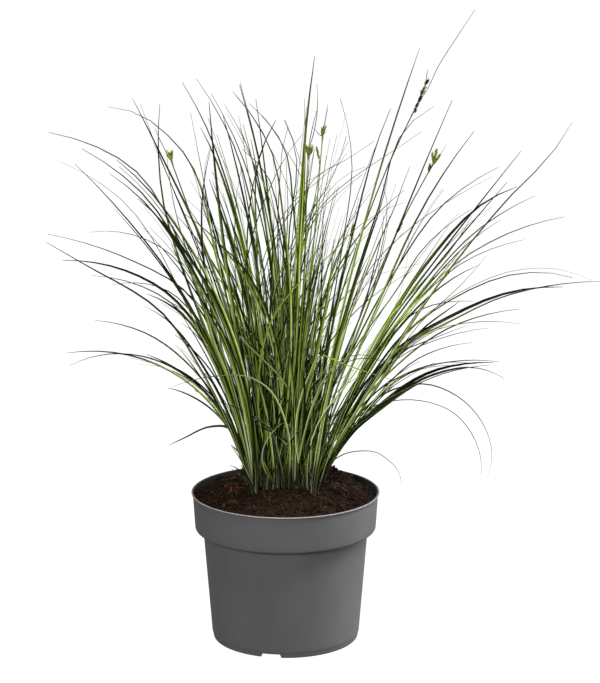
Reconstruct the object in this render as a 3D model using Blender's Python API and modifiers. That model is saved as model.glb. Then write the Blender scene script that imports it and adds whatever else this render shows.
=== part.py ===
"""Potted sedge: a nursery pot, the peat in it, a clump of leafy shoots and its flower stems.

Metres, +Z up. The origin is the centre of the pot's foot, on the floor. The front view looks along +Y.
"""
import math
import random

import bmesh
import bpy
import numpy as np
from mathutils import Matrix, Vector, noise
from mathutils.kdtree import KDTree

MM = 0.001
GAP = 0.3 * MM

# Pot: a 19 cm nursery pot
POT_STEPS = 36
WALL = 1.4 * MM
EDGE = 0.4 * MM
SLOPE = 0.5 * MM
RIM_RADIUS = 95.1 * MM
RIM_TOP = 151.8 * MM
RIM_THICK = 1.0 * MM
COLLAR_TOP_RADIUS = 93.7 * MM
COLLAR_FOOT_RADIUS = 91.4 * MM
COLLAR_FOOT = 114.0 * MM
COLLAR_EDGE_ROUND = 1.8 * MM
BODY_TOP_RADIUS = 83.4 * MM
BODY_TOP = 112.8 * MM
BODY_FOOT_RADIUS = 74.9 * MM
BODY_FOOT = 6.0 * MM
FOOT_RADIUS = 73.2 * MM
FOOT_STEP = 4.8 * MM
FOOT_WIDTH = 1.6 * MM
BASE_UNDER = 3.4 * MM
FLOOR_TOP = 5.2 * MM
NOTCH_COUNT = 3
NOTCH_BEARING = math.radians(258.5)
NOTCH_WIDTH = 21.0 * MM
NOTCH_HEIGHT = 3.8 * MM
NOTCH_DEPTH = 6.0 * MM
NOTCH_NARROWS = 0.84
DRAIN_COUNT = 6
DRAIN_RADIUS = 4.5 * MM
DRAIN_RING = 54.0 * MM
DRAIN_SIDES = 8
PLUG_LENGTH = 20.0 * MM
SMOOTH_BELOW = math.radians(35)

# Peat: its top as (distance from the axis, height, share of the lumps), mounded where the clump stands
SOIL_STEPS = 20
SOIL_CLEAR = 0.5 * MM
SOIL_TOP = (
    (0.0, 163.0 * MM, 0.0),
    (18.0 * MM, 163.0 * MM, 0.0),
    (40.0 * MM, 161.6 * MM, 0.0),
    (54.0 * MM, 159.0 * MM, 1.0),
    (66.0 * MM, 154.5 * MM, 1.0),
    (79.0 * MM, 149.5 * MM, 1.0),
    (90.9 * MM, 146.0 * MM, 0.35),
)
LUMP_SIZE = 14.0 * MM
LUMP_HEIGHT = 3.0 * MM

# Clump: rings of places where shoots stand, as a share of the crown's half width, and their number
CROWN_HALF_X = 38.0 * MM
CROWN_HALF_Y = 28.0 * MM
RINGS = ((1.0, 24), (0.72, 16), (0.44, 8), (0.16, 3))
EYE = Vector((0.0, -2.300, 0.822))

# Sheath: the short base that a shoot's leaves come out of
SHEATH_RADIUS = 1.9 * MM
SHEATH_TAPER = 0.6
SHEATH_HEIGHT = 30.0 * MM
SHEATH_SIDES = 4
SHEATH_LEAN = 0.55
LEAN_TO_LEAVES = (0.8, 0.3)

# Leaf: a folded blade, narrow in the sheath and long and thin at its tip
LEAF_WIDTH = 3.2 * MM
LEAF_NARROWS = 0.08
LEAF_KEEL = 0.30
LEAF_FOOT_SHARE = 0.72
LEAF_TIP_SHARE = 0.12
LEAF_TAPER = (2.1, 0.85)
LEAF_START = (0.25, 0.3 * MM, 2.1)
LEAF_STATIONS = 6
TURN_PER_STATION = 30.0
COURSE_SAMPLES = 40

# Room between the leaves of different shoots, and how a leaf's course may shift to keep it
LEAF_CLEAR = 3.8 * MM
CLEAR_STEP = 1.5 * MM
LEAF_SPREAD = 14.0 * MM
DEPTH_STEP = 9.0 * MM
DEPTH_TRIES = 12
BULGES = (0.0, 7.0 * MM, -7.0 * MM, 15.0 * MM, -15.0 * MM)

# Leaves whose course shows: (ring, slot) of the shoot: (depth of its tips, its leaves).
# Each leaf is its points in mm, (across, height) as seen from the front, from its middle out to its tip.
SHOWN_SHOOTS = {
    (0, 14): (-118, (((-88, 362), (-157, 486), (-231, 516)), ((-99, 349), (-162, 437), (-206, 485)),
                    ((-92, 330), (-172, 459), (-222, 488)))),
    (1, 9): (-94, (((-66, 380), (-103, 500), (-146, 535), (-173, 541)), ((-74, 385), (-126, 502), (-149, 550)),
                   ((-70, 350), (-131, 515), (-141, 544)))),
    (0, 15): (-146, (((-96, 405), (-142, 468), (-165, 489)), ((-95, 385), (-144, 459), (-199, 500)))),
    (0, 9): (118, (((-85, 330), (-122, 459), (-122, 544)), ((-50, 440), (-83, 534), (-100, 565)))),
    (1, 10): (-118, (((-60, 400), (-71, 508), (-74, 546)), ((-72, 330), (-79, 469), (-72, 502)))),
    (1, 7): (60, (((-31, 430), (-49, 499), (-86, 568)), ((-24, 430), (-45, 499), (-72, 554)),
                  ((-18, 430), (-36, 499), (-59, 543)))),
    (1, 11): (-108, (((-2, 430), (-14, 498), (-51, 556)), ((8, 440), (-2, 503), (-35, 544)))),
    (1, 5): (88, (((-28, 400), (-23, 499), (-9, 528)), ((4, 420), (9, 503), (-1, 528)))),
    (0, 13): (-62, (((-66, 300), (-99, 357), (-153, 389), (-234, 415)),
                    ((-85, 277), (-120, 332), (-203, 387), (-236, 407)),
                    ((-70, 290), (-124, 361), (-168, 382), (-220, 389)))),
    (0, 11): (62, (((-74, 330), (-119, 399), (-153, 415), (-192, 417)), ((-76, 310), (-119, 359), (-172, 364)),
                   ((-66, 275), (-105, 337), (-137, 355)))),
    (0, 12): (10, (((-58, 225), (-85, 269), (-140, 315), (-189, 328)),
                  ((-58, 220), (-95, 267), (-135, 289), (-180, 293), (-215, 282)),
                  ((-62, 232), (-98, 267), (-157, 290)), ((-58, 226), (-92, 257)))),
    (0, 10): (44, (((-47, 200), (-58, 217), (-76, 218), (-101, 207), (-118, 199)), ((-41, 184), (-55, 200)))),
    (0, 16): (-54, (((-41, 165), (-57, 179)),)),
    (0, 18): (-110, (((3, 205), (-2, 228), (-20, 260), (-35, 269), (-75, 270), (-113, 260)),)),
    (0, 17): (-60, (((-23, 189), (-16, 208), (0, 222), (9, 216)),)),
    (2, 6): (-60, (((14, 400), (21, 523), (29, 590)), ((15, 380), (20, 498), (19, 549)))),
    (1, 4): (92, (((56, 400), (65, 498), (54, 549)), ((30, 380), (44, 470), (60, 535)))),
    (1, 15): (-62, (((80, 430), (109, 530), (131, 598)), ((68, 420), (91, 508), (103, 539)))),
    (1, 14): (-118, (((92, 440), (123, 525), (145, 541)), ((85, 350), (123, 449), (145, 504), (163, 547)))),
    (1, 1): (62, (((95, 350), (140, 449), (162, 485), (185, 517)), ((105, 370), (161, 449), (209, 481)))),
    (0, 21): (-138, (((85, 255), (150, 360), (219, 449), (264, 498), (281, 526)),
                    ((95, 310), (150, 390), (211, 471), (231, 497)))),
    (0, 1): (72, (((85, 290), (140, 385), (202, 450), (228, 462)),
                  ((88, 290), (130, 350), (192, 420), (246, 453)))),
    (0, 2): (122, (((100, 300), (163, 380), (227, 418), (276, 432)),
                   ((70, 260), (110, 320), (178, 387), (236, 409)))),
    (0, 22): (-84, (((85, 250), (139, 330), (175, 364), (199, 393)), ((85, 275), (136, 339), (187, 347)))),
    (0, 23): (-50, (((70, 230), (114, 298), (164, 326), (213, 350), (273, 364), (318, 367)),
                    ((75, 250), (115, 310), (167, 352), (233, 379), (272, 379), (304, 368)))),
    (1, 0): (22, (((90, 265), (144, 315), (194, 326), (233, 324)), ((100, 270), (164, 320), (233, 339)))),
    (0, 0): (6, (((60, 209), (95, 236), (145, 270), (195, 278), (219, 268)),
                 ((75, 225), (115, 269), (174, 286), (214, 285)), ((85, 240), (134, 289), (187, 305)))),
    (0, 3): (108, (((60, 215), (105, 255), (140, 262), (170, 251), (199, 220), (208, 189), (202, 163)),)),
    (0, 4): (128, (((50, 205), (90, 240), (127, 246), (165, 235), (196, 189), (197, 161)),)),
    (0, 5): (56, (((46, 182), (60, 190), (77, 193), (90, 192), (103, 184), (113, 173), (117, 160)),)),
    (0, 20): (-92, (((24, 270), (35, 291), (60, 282), (90, 272), (113, 265)),)),
}

# Shoots that the front view doesn't tell apart lean out from their place by this rule
SHARE_ACROSS = 0.72
RULE_LEAVES = 3
RULE_TRIES = 160
RULE_SWING = 0.22
RULE_VARY = (0.10, 0.06)
RULE_WIDEN = 25
RULE_REACH = (34.0 * MM, 150.0 * MM)
RULE_HEIGHT = (412.0 * MM, -96.0 * MM)
RULE_SHARES = (0.5, 1.35)
RULE_BEND = (0.33, 0.06)
RULE_RISE = (0.55, 0.20)
RULE_LEAST = 0.78
RULE_SINK = 0.30

# Flower stems: (ring, slot): (depth of the top, stalk points, spikes, bracts), in mm as seen from the front.
# A spike is (across, height, length, width); a bract is its points.
CULM_RADIUS = 0.8 * MM
CULM_SHARES = (1.3, 0.8)
CULM_LIFT = Vector((0.0, 0.0, 0.5 * MM))
BRACT_WIDTH = 1.6 * MM
SPIKE_OFF = 0.6
SPIKE_SEGMENTS = 6
SPIKE_RINGS = 4
FLOWER_STEMS = {
    (1, 8): (-30, ((-62, 340), (-100, 455), (-113, 492)), ((-117, 498, 10, 4), (-111, 494, 12, 5)),
             (((-114, 494), (-121, 507), (-127, 520)),)),
    (3, 0): (-20, ((14, 350), (23, 498)), ((23, 500, 13, 5), (26, 499, 10, 4)),
             (((24, 500), (29, 530), (31, 563)),)),
    (2, 7): (10, ((24, 350), (34, 478), (37, 515)), ((37.5, 518, 13, 5.5), (33.5, 495, 10, 2.6)),
             (((38, 518), (42, 544)),)),
    (2, 0): (-16, ((70, 400), (112, 508), (125, 535), (138, 566)),
             ((127.5, 539, 11, 4.2), (130, 548, 11, 4.2), (133, 557, 12, 4.8), (138, 566, 12, 4)),
             (((129, 542), (134.5, 551), (150, 581), (166, 607), (184, 635)),)),
    (1, 2): (30, ((86, 360), (126, 449), (140, 475), (148, 490)),
             ((142, 480, 11, 3), (146.5, 489, 13, 4), (149.5, 494, 14, 4.6)),
             (((150, 491), (158, 504)),)),
    (2, 5): (-36, ((-36, 225), (-46, 262), (-53, 280)), ((-46, 262, 10, 4), (-53, 281, 10, 4)), ()),
}

# Colours
POT_GREY = (0.15, 0.15, 0.153)
PEAT_BROWN = (0.025, 0.014, 0.009)
LEAF_GREEN = (0.08, 0.15, 0.02)
STALK_GREEN = (0.12, 0.17, 0.035)


def clear_scene():
    """Removes every object of the opened file."""
    for thing in list(bpy.data.objects):
        bpy.data.objects.remove(thing, do_unlink=True)


def new_collection(name):
    """Makes a collection in the scene."""
    collection = bpy.data.collections.new(name)
    bpy.context.scene.collection.children.link(collection)
    return collection


def make_material(name, colour, roughness):
    """Makes a plain finish from a colour and a roughness."""
    material = bpy.data.materials.new(name)
    material.use_nodes = True
    shader = material.node_tree.nodes["Principled BSDF"]
    shader.inputs["Base Color"].default_value = (*colour, 1.0)
    shader.inputs["Roughness"].default_value = roughness
    shader.inputs["Metallic"].default_value = 0.0
    return material


def add_object(name, data, collection):
    """Puts data into the collection as a named object."""
    thing = bpy.data.objects.new(name, data)
    collection.objects.link(thing)
    return thing


def turned(name, profile, steps, collection):
    """Turns a profile of (radius, height) points about the Z axis."""
    outline = bpy.data.meshes.new(name)
    points = [(radius, 0.0, height) for radius, height in profile]
    outline.from_pydata(points, [(i, i + 1) for i in range(len(points) - 1)], [])
    thing = add_object(name, outline, collection)
    screw = thing.modifiers.new("turn", "SCREW")
    screw.steps = steps
    screw.render_steps = steps
    screw.use_merge_vertices = True
    screw.merge_threshold = 0.01 * MM
    return thing


def settle(thing, welded=True):
    """Replaces an object by the mesh that its modifiers or its curve make, with loose caps welded on."""
    bpy.context.view_layer.update()
    evaluated = thing.evaluated_get(bpy.context.evaluated_depsgraph_get())
    mesh = bpy.data.meshes.new_from_object(evaluated)
    solid = bpy.data.objects.new(thing.name, mesh)
    solid.matrix_world = thing.matrix_world
    thing.users_collection[0].objects.link(solid)
    name = thing.name
    bpy.data.objects.remove(thing, do_unlink=True)
    solid.name = name
    if welded:
        work = bmesh.new()
        work.from_mesh(mesh)
        bmesh.ops.remove_doubles(work, verts=work.verts, dist=0.002 * MM)
        bmesh.ops.recalc_face_normals(work, faces=work.faces)
        work.to_mesh(mesh)
        work.free()
    return solid


def combine(body, others, operation):
    """Joins the others to the body, or cuts them from it, and removes them."""
    for other in others:
        boolean = body.modifiers.new(operation.lower(), "BOOLEAN")
        boolean.operation = operation
        boolean.object = other
    solid = settle(body, welded=False)
    for other in others:
        bpy.data.objects.remove(other, do_unlink=True)
    return solid


def notch_cutter(bearing, collection):
    """Makes the block with slanted sides that cuts one drain notch through the foot ring."""
    work = bmesh.new()
    turn = Matrix.Rotation(bearing, 4, "Z")
    size = Matrix.Diagonal((NOTCH_DEPTH, NOTCH_WIDTH, 2 * NOTCH_HEIGHT, 1.0))
    place = turn @ Matrix.Translation((FOOT_RADIUS, 0.0, 0.0)) @ size
    bmesh.ops.create_cube(work, size=1.0, matrix=place)
    top = [vertex for vertex in work.verts if vertex.co.z > 0.0]
    narrow = turn @ Matrix.Diagonal((1.0, NOTCH_NARROWS, 1.0, 1.0)) @ turn.inverted()
    bmesh.ops.transform(work, matrix=narrow, verts=top)
    mesh = bpy.data.meshes.new("notch_cutter")
    work.to_mesh(mesh)
    work.free()
    return add_object("notch_cutter", mesh, collection)


def drain_cutter(bearing, collection):
    """Makes the plug that cuts one drain hole through the base."""
    work = bmesh.new()
    place = Matrix.Rotation(bearing, 4, "Z") @ Matrix.Translation((DRAIN_RING, 0.0, FLOOR_TOP))
    bmesh.ops.create_cone(work, cap_ends=True, segments=DRAIN_SIDES, radius1=DRAIN_RADIUS, radius2=DRAIN_RADIUS,
                          depth=PLUG_LENGTH, matrix=place)
    mesh = bpy.data.meshes.new("drain_cutter")
    work.to_mesh(mesh)
    work.free()
    return add_object("drain_cutter", mesh, collection)


def make_pot(collection, cutters):
    """Turns the pot's wall and cuts its drain notches and holes."""
    round_off = COLLAR_EDGE_ROUND
    profile = [
        (0.0, FLOOR_TOP),
        (BODY_FOOT_RADIUS - WALL - SLOPE, FLOOR_TOP),
        (BODY_TOP_RADIUS - WALL, COLLAR_FOOT + WALL - SLOPE),
        (COLLAR_FOOT_RADIUS - WALL, COLLAR_FOOT + WALL),
        (COLLAR_TOP_RADIUS - WALL, RIM_TOP - SLOPE),
        (COLLAR_TOP_RADIUS - WALL + SLOPE, RIM_TOP),
        (RIM_RADIUS - EDGE, RIM_TOP),
        (RIM_RADIUS, RIM_TOP - EDGE),
        (RIM_RADIUS, RIM_TOP - RIM_THICK),
        (COLLAR_TOP_RADIUS, RIM_TOP - RIM_THICK - SLOPE),
        (COLLAR_FOOT_RADIUS, COLLAR_FOOT + round_off),
        (COLLAR_FOOT_RADIUS - 0.4 * round_off, COLLAR_FOOT + 0.3 * round_off),
        (COLLAR_FOOT_RADIUS - round_off, COLLAR_FOOT - EDGE),
        (BODY_TOP_RADIUS, BODY_TOP),
        (BODY_FOOT_RADIUS, BODY_FOOT),
        (BODY_FOOT_RADIUS - SLOPE, FOOT_STEP),
        (FOOT_RADIUS + SLOPE, 2 * EDGE),
        (FOOT_RADIUS, 0.0),
        (FOOT_RADIUS - FOOT_WIDTH, 0.0),
        (FOOT_RADIUS - FOOT_WIDTH - EDGE, BASE_UNDER),
        (0.0, BASE_UNDER),
    ]
    pot = settle(turned("pot", profile, POT_STEPS, collection))
    third = 2 * math.pi / NOTCH_COUNT
    cuts = [notch_cutter(NOTCH_BEARING + i * third, cutters) for i in range(NOTCH_COUNT)]
    turn = 2 * math.pi / DRAIN_COUNT
    cuts += [drain_cutter(NOTCH_BEARING + (i + 0.5) * turn, cutters) for i in range(DRAIN_COUNT)]
    pot = combine(pot, cuts, "DIFFERENCE")
    pot.data.shade_smooth()
    pot.data.set_sharp_from_angle(angle=SMOOTH_BELOW)
    return pot


def make_soil(collection):
    """Turns the root ball that fills the pot, and raises and lowers its top in lumps."""
    profile = [(reach, height) for reach, height, lumps in SOIL_TOP]
    shelf = COLLAR_FOOT + WALL + GAP
    profile += [
        (COLLAR_FOOT_RADIUS - WALL - SOIL_CLEAR, shelf),
        (BODY_TOP_RADIUS - WALL - 2 * SOIL_CLEAR, shelf - 2 * EDGE),
        (BODY_FOOT_RADIUS - WALL - SLOPE - SOIL_CLEAR, FLOOR_TOP + GAP),
        (0.0, FLOOR_TOP + GAP),
    ]
    soil = settle(turned("soil", profile, SOIL_STEPS, collection))
    reaches, heights, shares = zip(*SOIL_TOP)
    for vertex in soil.data.vertices:
        place = vertex.co
        if place.z > (shelf + min(heights)) / 2:
            lump = noise.noise(Vector((place.x, place.y, 0.0)) / LUMP_SIZE)
            place.z += LUMP_HEIGHT * lump * np.interp(math.hypot(place.x, place.y), reaches, shares)
    return soil


def smooth_course(points, count):
    """Gives points along the smooth curve through the given ones: cubic pieces between them, whose
    slopes are those of the parabolas through neighbours, over the length of the straight runs."""
    knots = np.array(points, dtype=float)
    along = np.concatenate([[0.0], np.cumsum(np.linalg.norm(np.diff(knots, axis=0), axis=1))])
    slope = np.gradient(knots, along, axis=0, edge_order=2)
    wanted = np.linspace(0.0, along[-1], count)
    piece = np.clip(np.searchsorted(along, wanted, side="right") - 1, 0, len(along) - 2)
    run = (along[piece + 1] - along[piece])[:, None]
    t = (wanted - along[piece])[:, None] / run
    start = (1 + 2 * t) * (1 - t) ** 2 * knots[piece] + t * (1 - t) ** 2 * run * slope[piece]
    end = t ** 2 * (3 - 2 * t) * knots[piece + 1] + t ** 2 * (t - 1) * run * slope[piece + 1]
    return start + end


def stations(points):
    """Gives the places that a leaf or stalk is built through: more of them the more its course turns."""
    steps = np.diff(smooth_course(points, COURSE_SAMPLES), axis=0)
    steps /= np.linalg.norm(steps, axis=1)[:, None]
    turning = np.degrees(np.arccos(np.clip((steps[1:] * steps[:-1]).sum(axis=1), -1.0, 1.0)).sum())
    return smooth_course(points, LEAF_STATIONS + int(turning / TURN_PER_STATION))


def filled_in(built):
    """Gives close places along the straight runs between a leaf's stations."""
    along = np.concatenate([[0.0], np.cumsum(np.linalg.norm(np.diff(built, axis=0), axis=1))])
    wanted = np.linspace(0.0, along[-1], max(3, int(along[-1] / CLEAR_STEP)))
    return np.column_stack([np.interp(wanted, along, built[:, axis]) for axis in range(3)])


def from_front(across, height, depth):
    """Gives the place at this depth that the eye sees at (across, height) in the plane of the pot's axis."""
    share = (depth - EYE.y) / -EYE.y
    return (across * share, depth, EYE.z + (height - EYE.z) * share)


def seen_points(start, seen, depth, bulge=0.0):
    """Gives a shown leaf's points in space, going evenly from its start's depth to the tip's."""
    flat = [(start[0], start[2])] + [(across * MM, height * MM) for across, height in seen]
    runs = [math.dist(flat[i], flat[i + 1]) for i in range(len(flat) - 1)]
    whole = sum(runs)
    points = [tuple(start)]
    share = 0.0
    for (across, height), run in zip(flat[1:], runs):
        share += run / whole
        deep = start[1] + (depth - start[1]) * share + 4 * bulge * share * (1 - share)
        points.append(from_front(across, height, deep))
    return points


def rule_points(start, arch, heading, ring_share, dice):
    """Gives a leaf's points by the rule: it rises steeply and bends out along its heading, and the
    further it reaches, the more it arches over."""
    least, most = RULE_SHARES
    reach = (RULE_REACH[0] + RULE_REACH[1] * ring_share) * (least + (most - least) * arch)
    height = (RULE_HEIGHT[0] + RULE_HEIGHT[1] * ring_share ** 2) * dice.uniform(RULE_LEAST, 1.0)
    height *= 1.0 - RULE_SINK * arch * ring_share
    out = Vector((SHARE_ACROSS * math.cos(heading), math.sin(heading), 0.0)) * reach
    rise = Vector((0.0, 0.0, height))
    middle = start + (RULE_BEND[0] + RULE_BEND[1] * arch) * out + (RULE_RISE[0] + RULE_RISE[1] * arch) * rise
    return [tuple(start), tuple(middle), tuple(start + out + rise)]


def leaf_shares(count):
    """Gives the leaf's width along it as a share of its widest: narrow in the sheath, long thin tip."""
    t = np.linspace(0.0, 1.0, count)
    shares = np.minimum(1.0, LEAF_FOOT_SHARE + t) * (1 - t ** LEAF_TAPER[0]) ** LEAF_TAPER[1]
    return shares * (1 - LEAF_TIP_SHARE) + LEAF_TIP_SHARE


def make_blade(name, course, width, profile, collection):
    """Makes one leaf: a folded ribbon with a keel, swept along its course and tapered."""
    curve = bpy.data.curves.new(name, "CURVE")
    curve.dimensions = "3D"
    curve.twist_mode = "MINIMUM"
    curve.bevel_mode = "OBJECT"
    curve.bevel_object = profile
    curve.use_fill_caps = True
    spline = curve.splines.new("POLY")
    spline.points.add(len(course) - 1)
    shares = leaf_shares(len(course))
    for point, place, share in zip(spline.points, course, shares):
        point.co = (*place, 1.0)
        point.radius = share * width / LEAF_WIDTH
    return settle(add_object(name, curve, collection))


def make_section(collection):
    """Makes the leaf's section as a flat closed outline: a flat upper side and a keel below."""
    half = LEAF_WIDTH / 2
    curve = bpy.data.curves.new("leaf_section", "CURVE")
    curve.dimensions = "2D"
    spline = curve.splines.new("POLY")
    spline.points.add(2)
    outline = ((-half, 0.0), (0.0, -LEAF_KEEL * LEAF_WIDTH), (half, 0.0))
    for point, (across, up) in zip(spline.points, outline):
        point.co = (across, up, 0.0, 1.0)
    spline.use_cyclic_u = True
    section = add_object("leaf_section", curve, collection)
    section.hide_render = True
    section.display_type = "WIRE"
    return section


def make_sheath(name, foot, heading, collection):
    """Makes the short tapered base that a shoot's leaves come out of: it leans, and its foot is level."""
    work = bmesh.new()
    lean = Matrix.Identity(4)
    lean.col[2] = (*heading, 0.0)
    place = Matrix.Translation(foot) @ lean @ Matrix.Translation((0.0, 0.0, SHEATH_HEIGHT / 2))
    bmesh.ops.create_cone(work, cap_ends=True, segments=SHEATH_SIDES, radius1=SHEATH_RADIUS,
                          radius2=SHEATH_TAPER * SHEATH_RADIUS, depth=SHEATH_HEIGHT, matrix=place)
    mesh = bpy.data.meshes.new(name)
    work.to_mesh(mesh)
    work.free()
    return add_object(name, mesh, collection)


def crown_place(ring, slot):
    """Gives a place of the crown: its ring's share of the half width and its bearing."""
    share, count = RINGS[ring]
    return share, 2 * math.pi * slot / count


def root_above(ring, slot):
    """Gives the point just above the peat where the shoot at this place stands."""
    share, bearing = crown_place(ring, slot)
    across = CROWN_HALF_X * share * math.cos(bearing)
    deep = CROWN_HALF_Y * share * math.sin(bearing)
    reaches, heights, lumps = zip(*SOIL_TOP)
    peat = np.interp(math.hypot(across, deep) - SHEATH_RADIUS, reaches, heights)
    return Vector((across, deep, peat + GAP))


class Crowd:
    """The courses taken so far, each tagged with its shoot, so that a new leaf can stay clear of them."""

    def __init__(self):
        self.taken = []

    def add(self, owner, course):
        """Takes a course for its owner."""
        self.taken.append((owner, filled_in(course)))

    def tree_without(self, owner):
        """Gives a search tree of every course but the owner's."""
        others = [course for who, course in self.taken if who != owner]
        tree = KDTree(sum(len(course) for course in others))
        number = 0
        for course in others:
            for place in course:
                tree.insert(place, number)
                number += 1
        tree.balance()
        return tree


def clearest(tree, options):
    """Gives the first course that is clear of the tree's courses, or else the one that is furthest."""
    best = None
    best_room = -1.0
    for points in options:
        course = stations(points)
        room = min(tree.find(place)[2] for place in filled_in(course))
        if room > best_room:
            best = course
            best_room = room
        if room >= LEAF_CLEAR:
            break
    return best


def shown_options(start, seen, depth):
    """Gives a shown leaf's points with other depths, the nearest to the wanted depth first."""
    shifts = sorted((DEPTH_STEP * step for step in range(-DEPTH_TRIES, DEPTH_TRIES + 1)), key=abs)
    for shift in shifts:
        for bulge in BULGES:
            yield seen_points(start, seen, depth + shift, bulge)


def rule_options(start, arch, heading, ring_share, dice):
    """Gives leaves' points by the rule, near the shoot's own arch and heading at first and then wider."""
    for attempt in range(RULE_TRIES):
        wider = 1.0 + attempt / RULE_WIDEN
        leaf_arch = min(1.0, max(0.0, arch + dice.gauss(0.0, RULE_VARY[0] * wider)))
        leaf_heading = heading + dice.gauss(0.0, RULE_VARY[1] * wider)
        yield rule_points(start, leaf_arch, leaf_heading, ring_share, dice)


def shoot_heading(place, root):
    """Gives the slope of a place's sheath: how far it leans for each metre that it rises."""
    share, bearing = crown_place(*place)
    if place in SHOWN_SHOOTS:
        depth, leaves = SHOWN_SHOOTS[place]
        across = sum(seen[0][0] for seen in leaves) / len(leaves) * MM
        height = sum(seen[0][1] for seen in leaves) / len(leaves) * MM
        to_leaves = (LEAN_TO_LEAVES[0] * (across - root.x), LEAN_TO_LEAVES[1] * (depth * MM - root.y), 0.0)
        lean = Vector(to_leaves) / (height - root.z)
        lean *= min(1.0, SHEATH_LEAN / lean.length)
        return Vector((lean.x, lean.y, 1.0))
    slope = SHEATH_LEAN * share
    return Vector((SHARE_ACROSS * slope * math.cos(bearing), slope * math.sin(bearing), 1.0))


def leaf_start(root, heading, number):
    """Gives the place inside the sheath where a shoot's leaf starts."""
    rise, off, turn = LEAF_START
    side = Matrix.Rotation(turn * number, 3, heading) @ heading.orthogonal().normalized()
    return root + rise * SHEATH_HEIGHT * heading + off * side


def plan_shoots(roots, headings, crowd):
    """Gives each leafy shoot's leaves, the shown ones first and then those that follow the rule."""
    plan = {}
    for place, (depth, leaves) in SHOWN_SHOOTS.items():
        tree = crowd.tree_without(place)
        plan[place] = []
        for number, seen in enumerate(leaves):
            start = leaf_start(roots[place], headings[place], number)
            wanted = depth * MM + LEAF_SPREAD * (number - (len(leaves) - 1) / 2)
            plan[place].append(clearest(tree, shown_options(start, seen, wanted)))
        for course in plan[place]:
            crowd.add(place, course)
    for place in roots:
        if place in SHOWN_SHOOTS or place in FLOWER_STEMS:
            continue
        dice = random.Random(100 * place[0] + place[1])
        share, bearing = crown_place(*place)
        arch = dice.random()
        heading = bearing + dice.gauss(0.0, RULE_SWING / share)
        tree = crowd.tree_without(place)
        plan[place] = []
        for number in range(RULE_LEAVES):
            start = leaf_start(roots[place], headings[place], number)
            plan[place].append(clearest(tree, rule_options(start, arch, heading, share, dice)))
        for course in plan[place]:
            crowd.add(place, course)
    return plan


def make_shoot(name, root, heading, courses, section, collection):
    """Makes one shoot: its sheath with its leaves grown together with it."""
    sheath = make_sheath(name, root, heading, collection)
    blades = []
    for number, course in enumerate(courses):
        width = LEAF_WIDTH * (1.0 - LEAF_NARROWS * number)
        blades.append(make_blade(f"{name}_leaf", course, width, section, collection))
    return combine(sheath, blades, "UNION")


def make_spike(foot, heading, length, width, collection):
    """Makes one oval flower spike along the heading."""
    work = bmesh.new()
    turn = heading.to_track_quat("Z", "Y").to_matrix().to_4x4()
    size = Matrix.Diagonal((width / 2, width / 2, length / 2, 1.0))
    place = Matrix.Translation(foot) @ turn @ size
    bmesh.ops.create_uvsphere(work, u_segments=SPIKE_SEGMENTS, v_segments=SPIKE_RINGS, radius=1.0, matrix=place)
    mesh = bpy.data.meshes.new("spike")
    work.to_mesh(mesh)
    work.free()
    return add_object("spike", mesh, collection)


def make_culm(name, course, collection):
    """Makes a flower stem's thin stalk."""
    curve = bpy.data.curves.new(name, "CURVE")
    curve.dimensions = "3D"
    curve.bevel_depth = CULM_RADIUS
    curve.bevel_resolution = 0
    curve.use_fill_caps = True
    spline = curve.splines.new("POLY")
    spline.points.add(len(course) - 1)
    for point, place, share in zip(spline.points, course, np.linspace(*CULM_SHARES, len(course))):
        point.co = (*place, 1.0)
        point.radius = share
    return settle(add_object(name, curve, collection))


def make_flower_stem(name, course, spikes, bracts, section, collection):
    """Makes one flower stem: stalk, spikes and bracts grown together."""
    culm = make_culm(name, course, collection)
    close = filled_in(course)
    grown = []
    for across, height, length, width in spikes:
        wanted = np.array(from_front(across * MM, height * MM, course[-1][1]))
        at = min(int(np.argmin(np.linalg.norm(close - wanted, axis=1))), len(close) - 2)
        lean = Vector(close[at + 1] - close[at]).normalized()
        foot = Vector(close[at]).lerp(Vector(wanted), SPIKE_OFF)
        grown.append(make_spike(foot, lean, length * MM, width * MM, collection))
    for bract in bracts:
        seen = [np.array(from_front(across * MM, height * MM, course[-1][1])) for across, height in bract]
        start = close[int(np.argmin(np.linalg.norm(close - seen[0], axis=1)))]
        middle = seen[1:-1] or [(start + seen[-1]) / 2]
        points = np.array([start, *middle, seen[-1]])
        grown.append(make_blade("bract", stations(points), BRACT_WIDTH, section, collection))
    return combine(culm, grown, "UNION")


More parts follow.
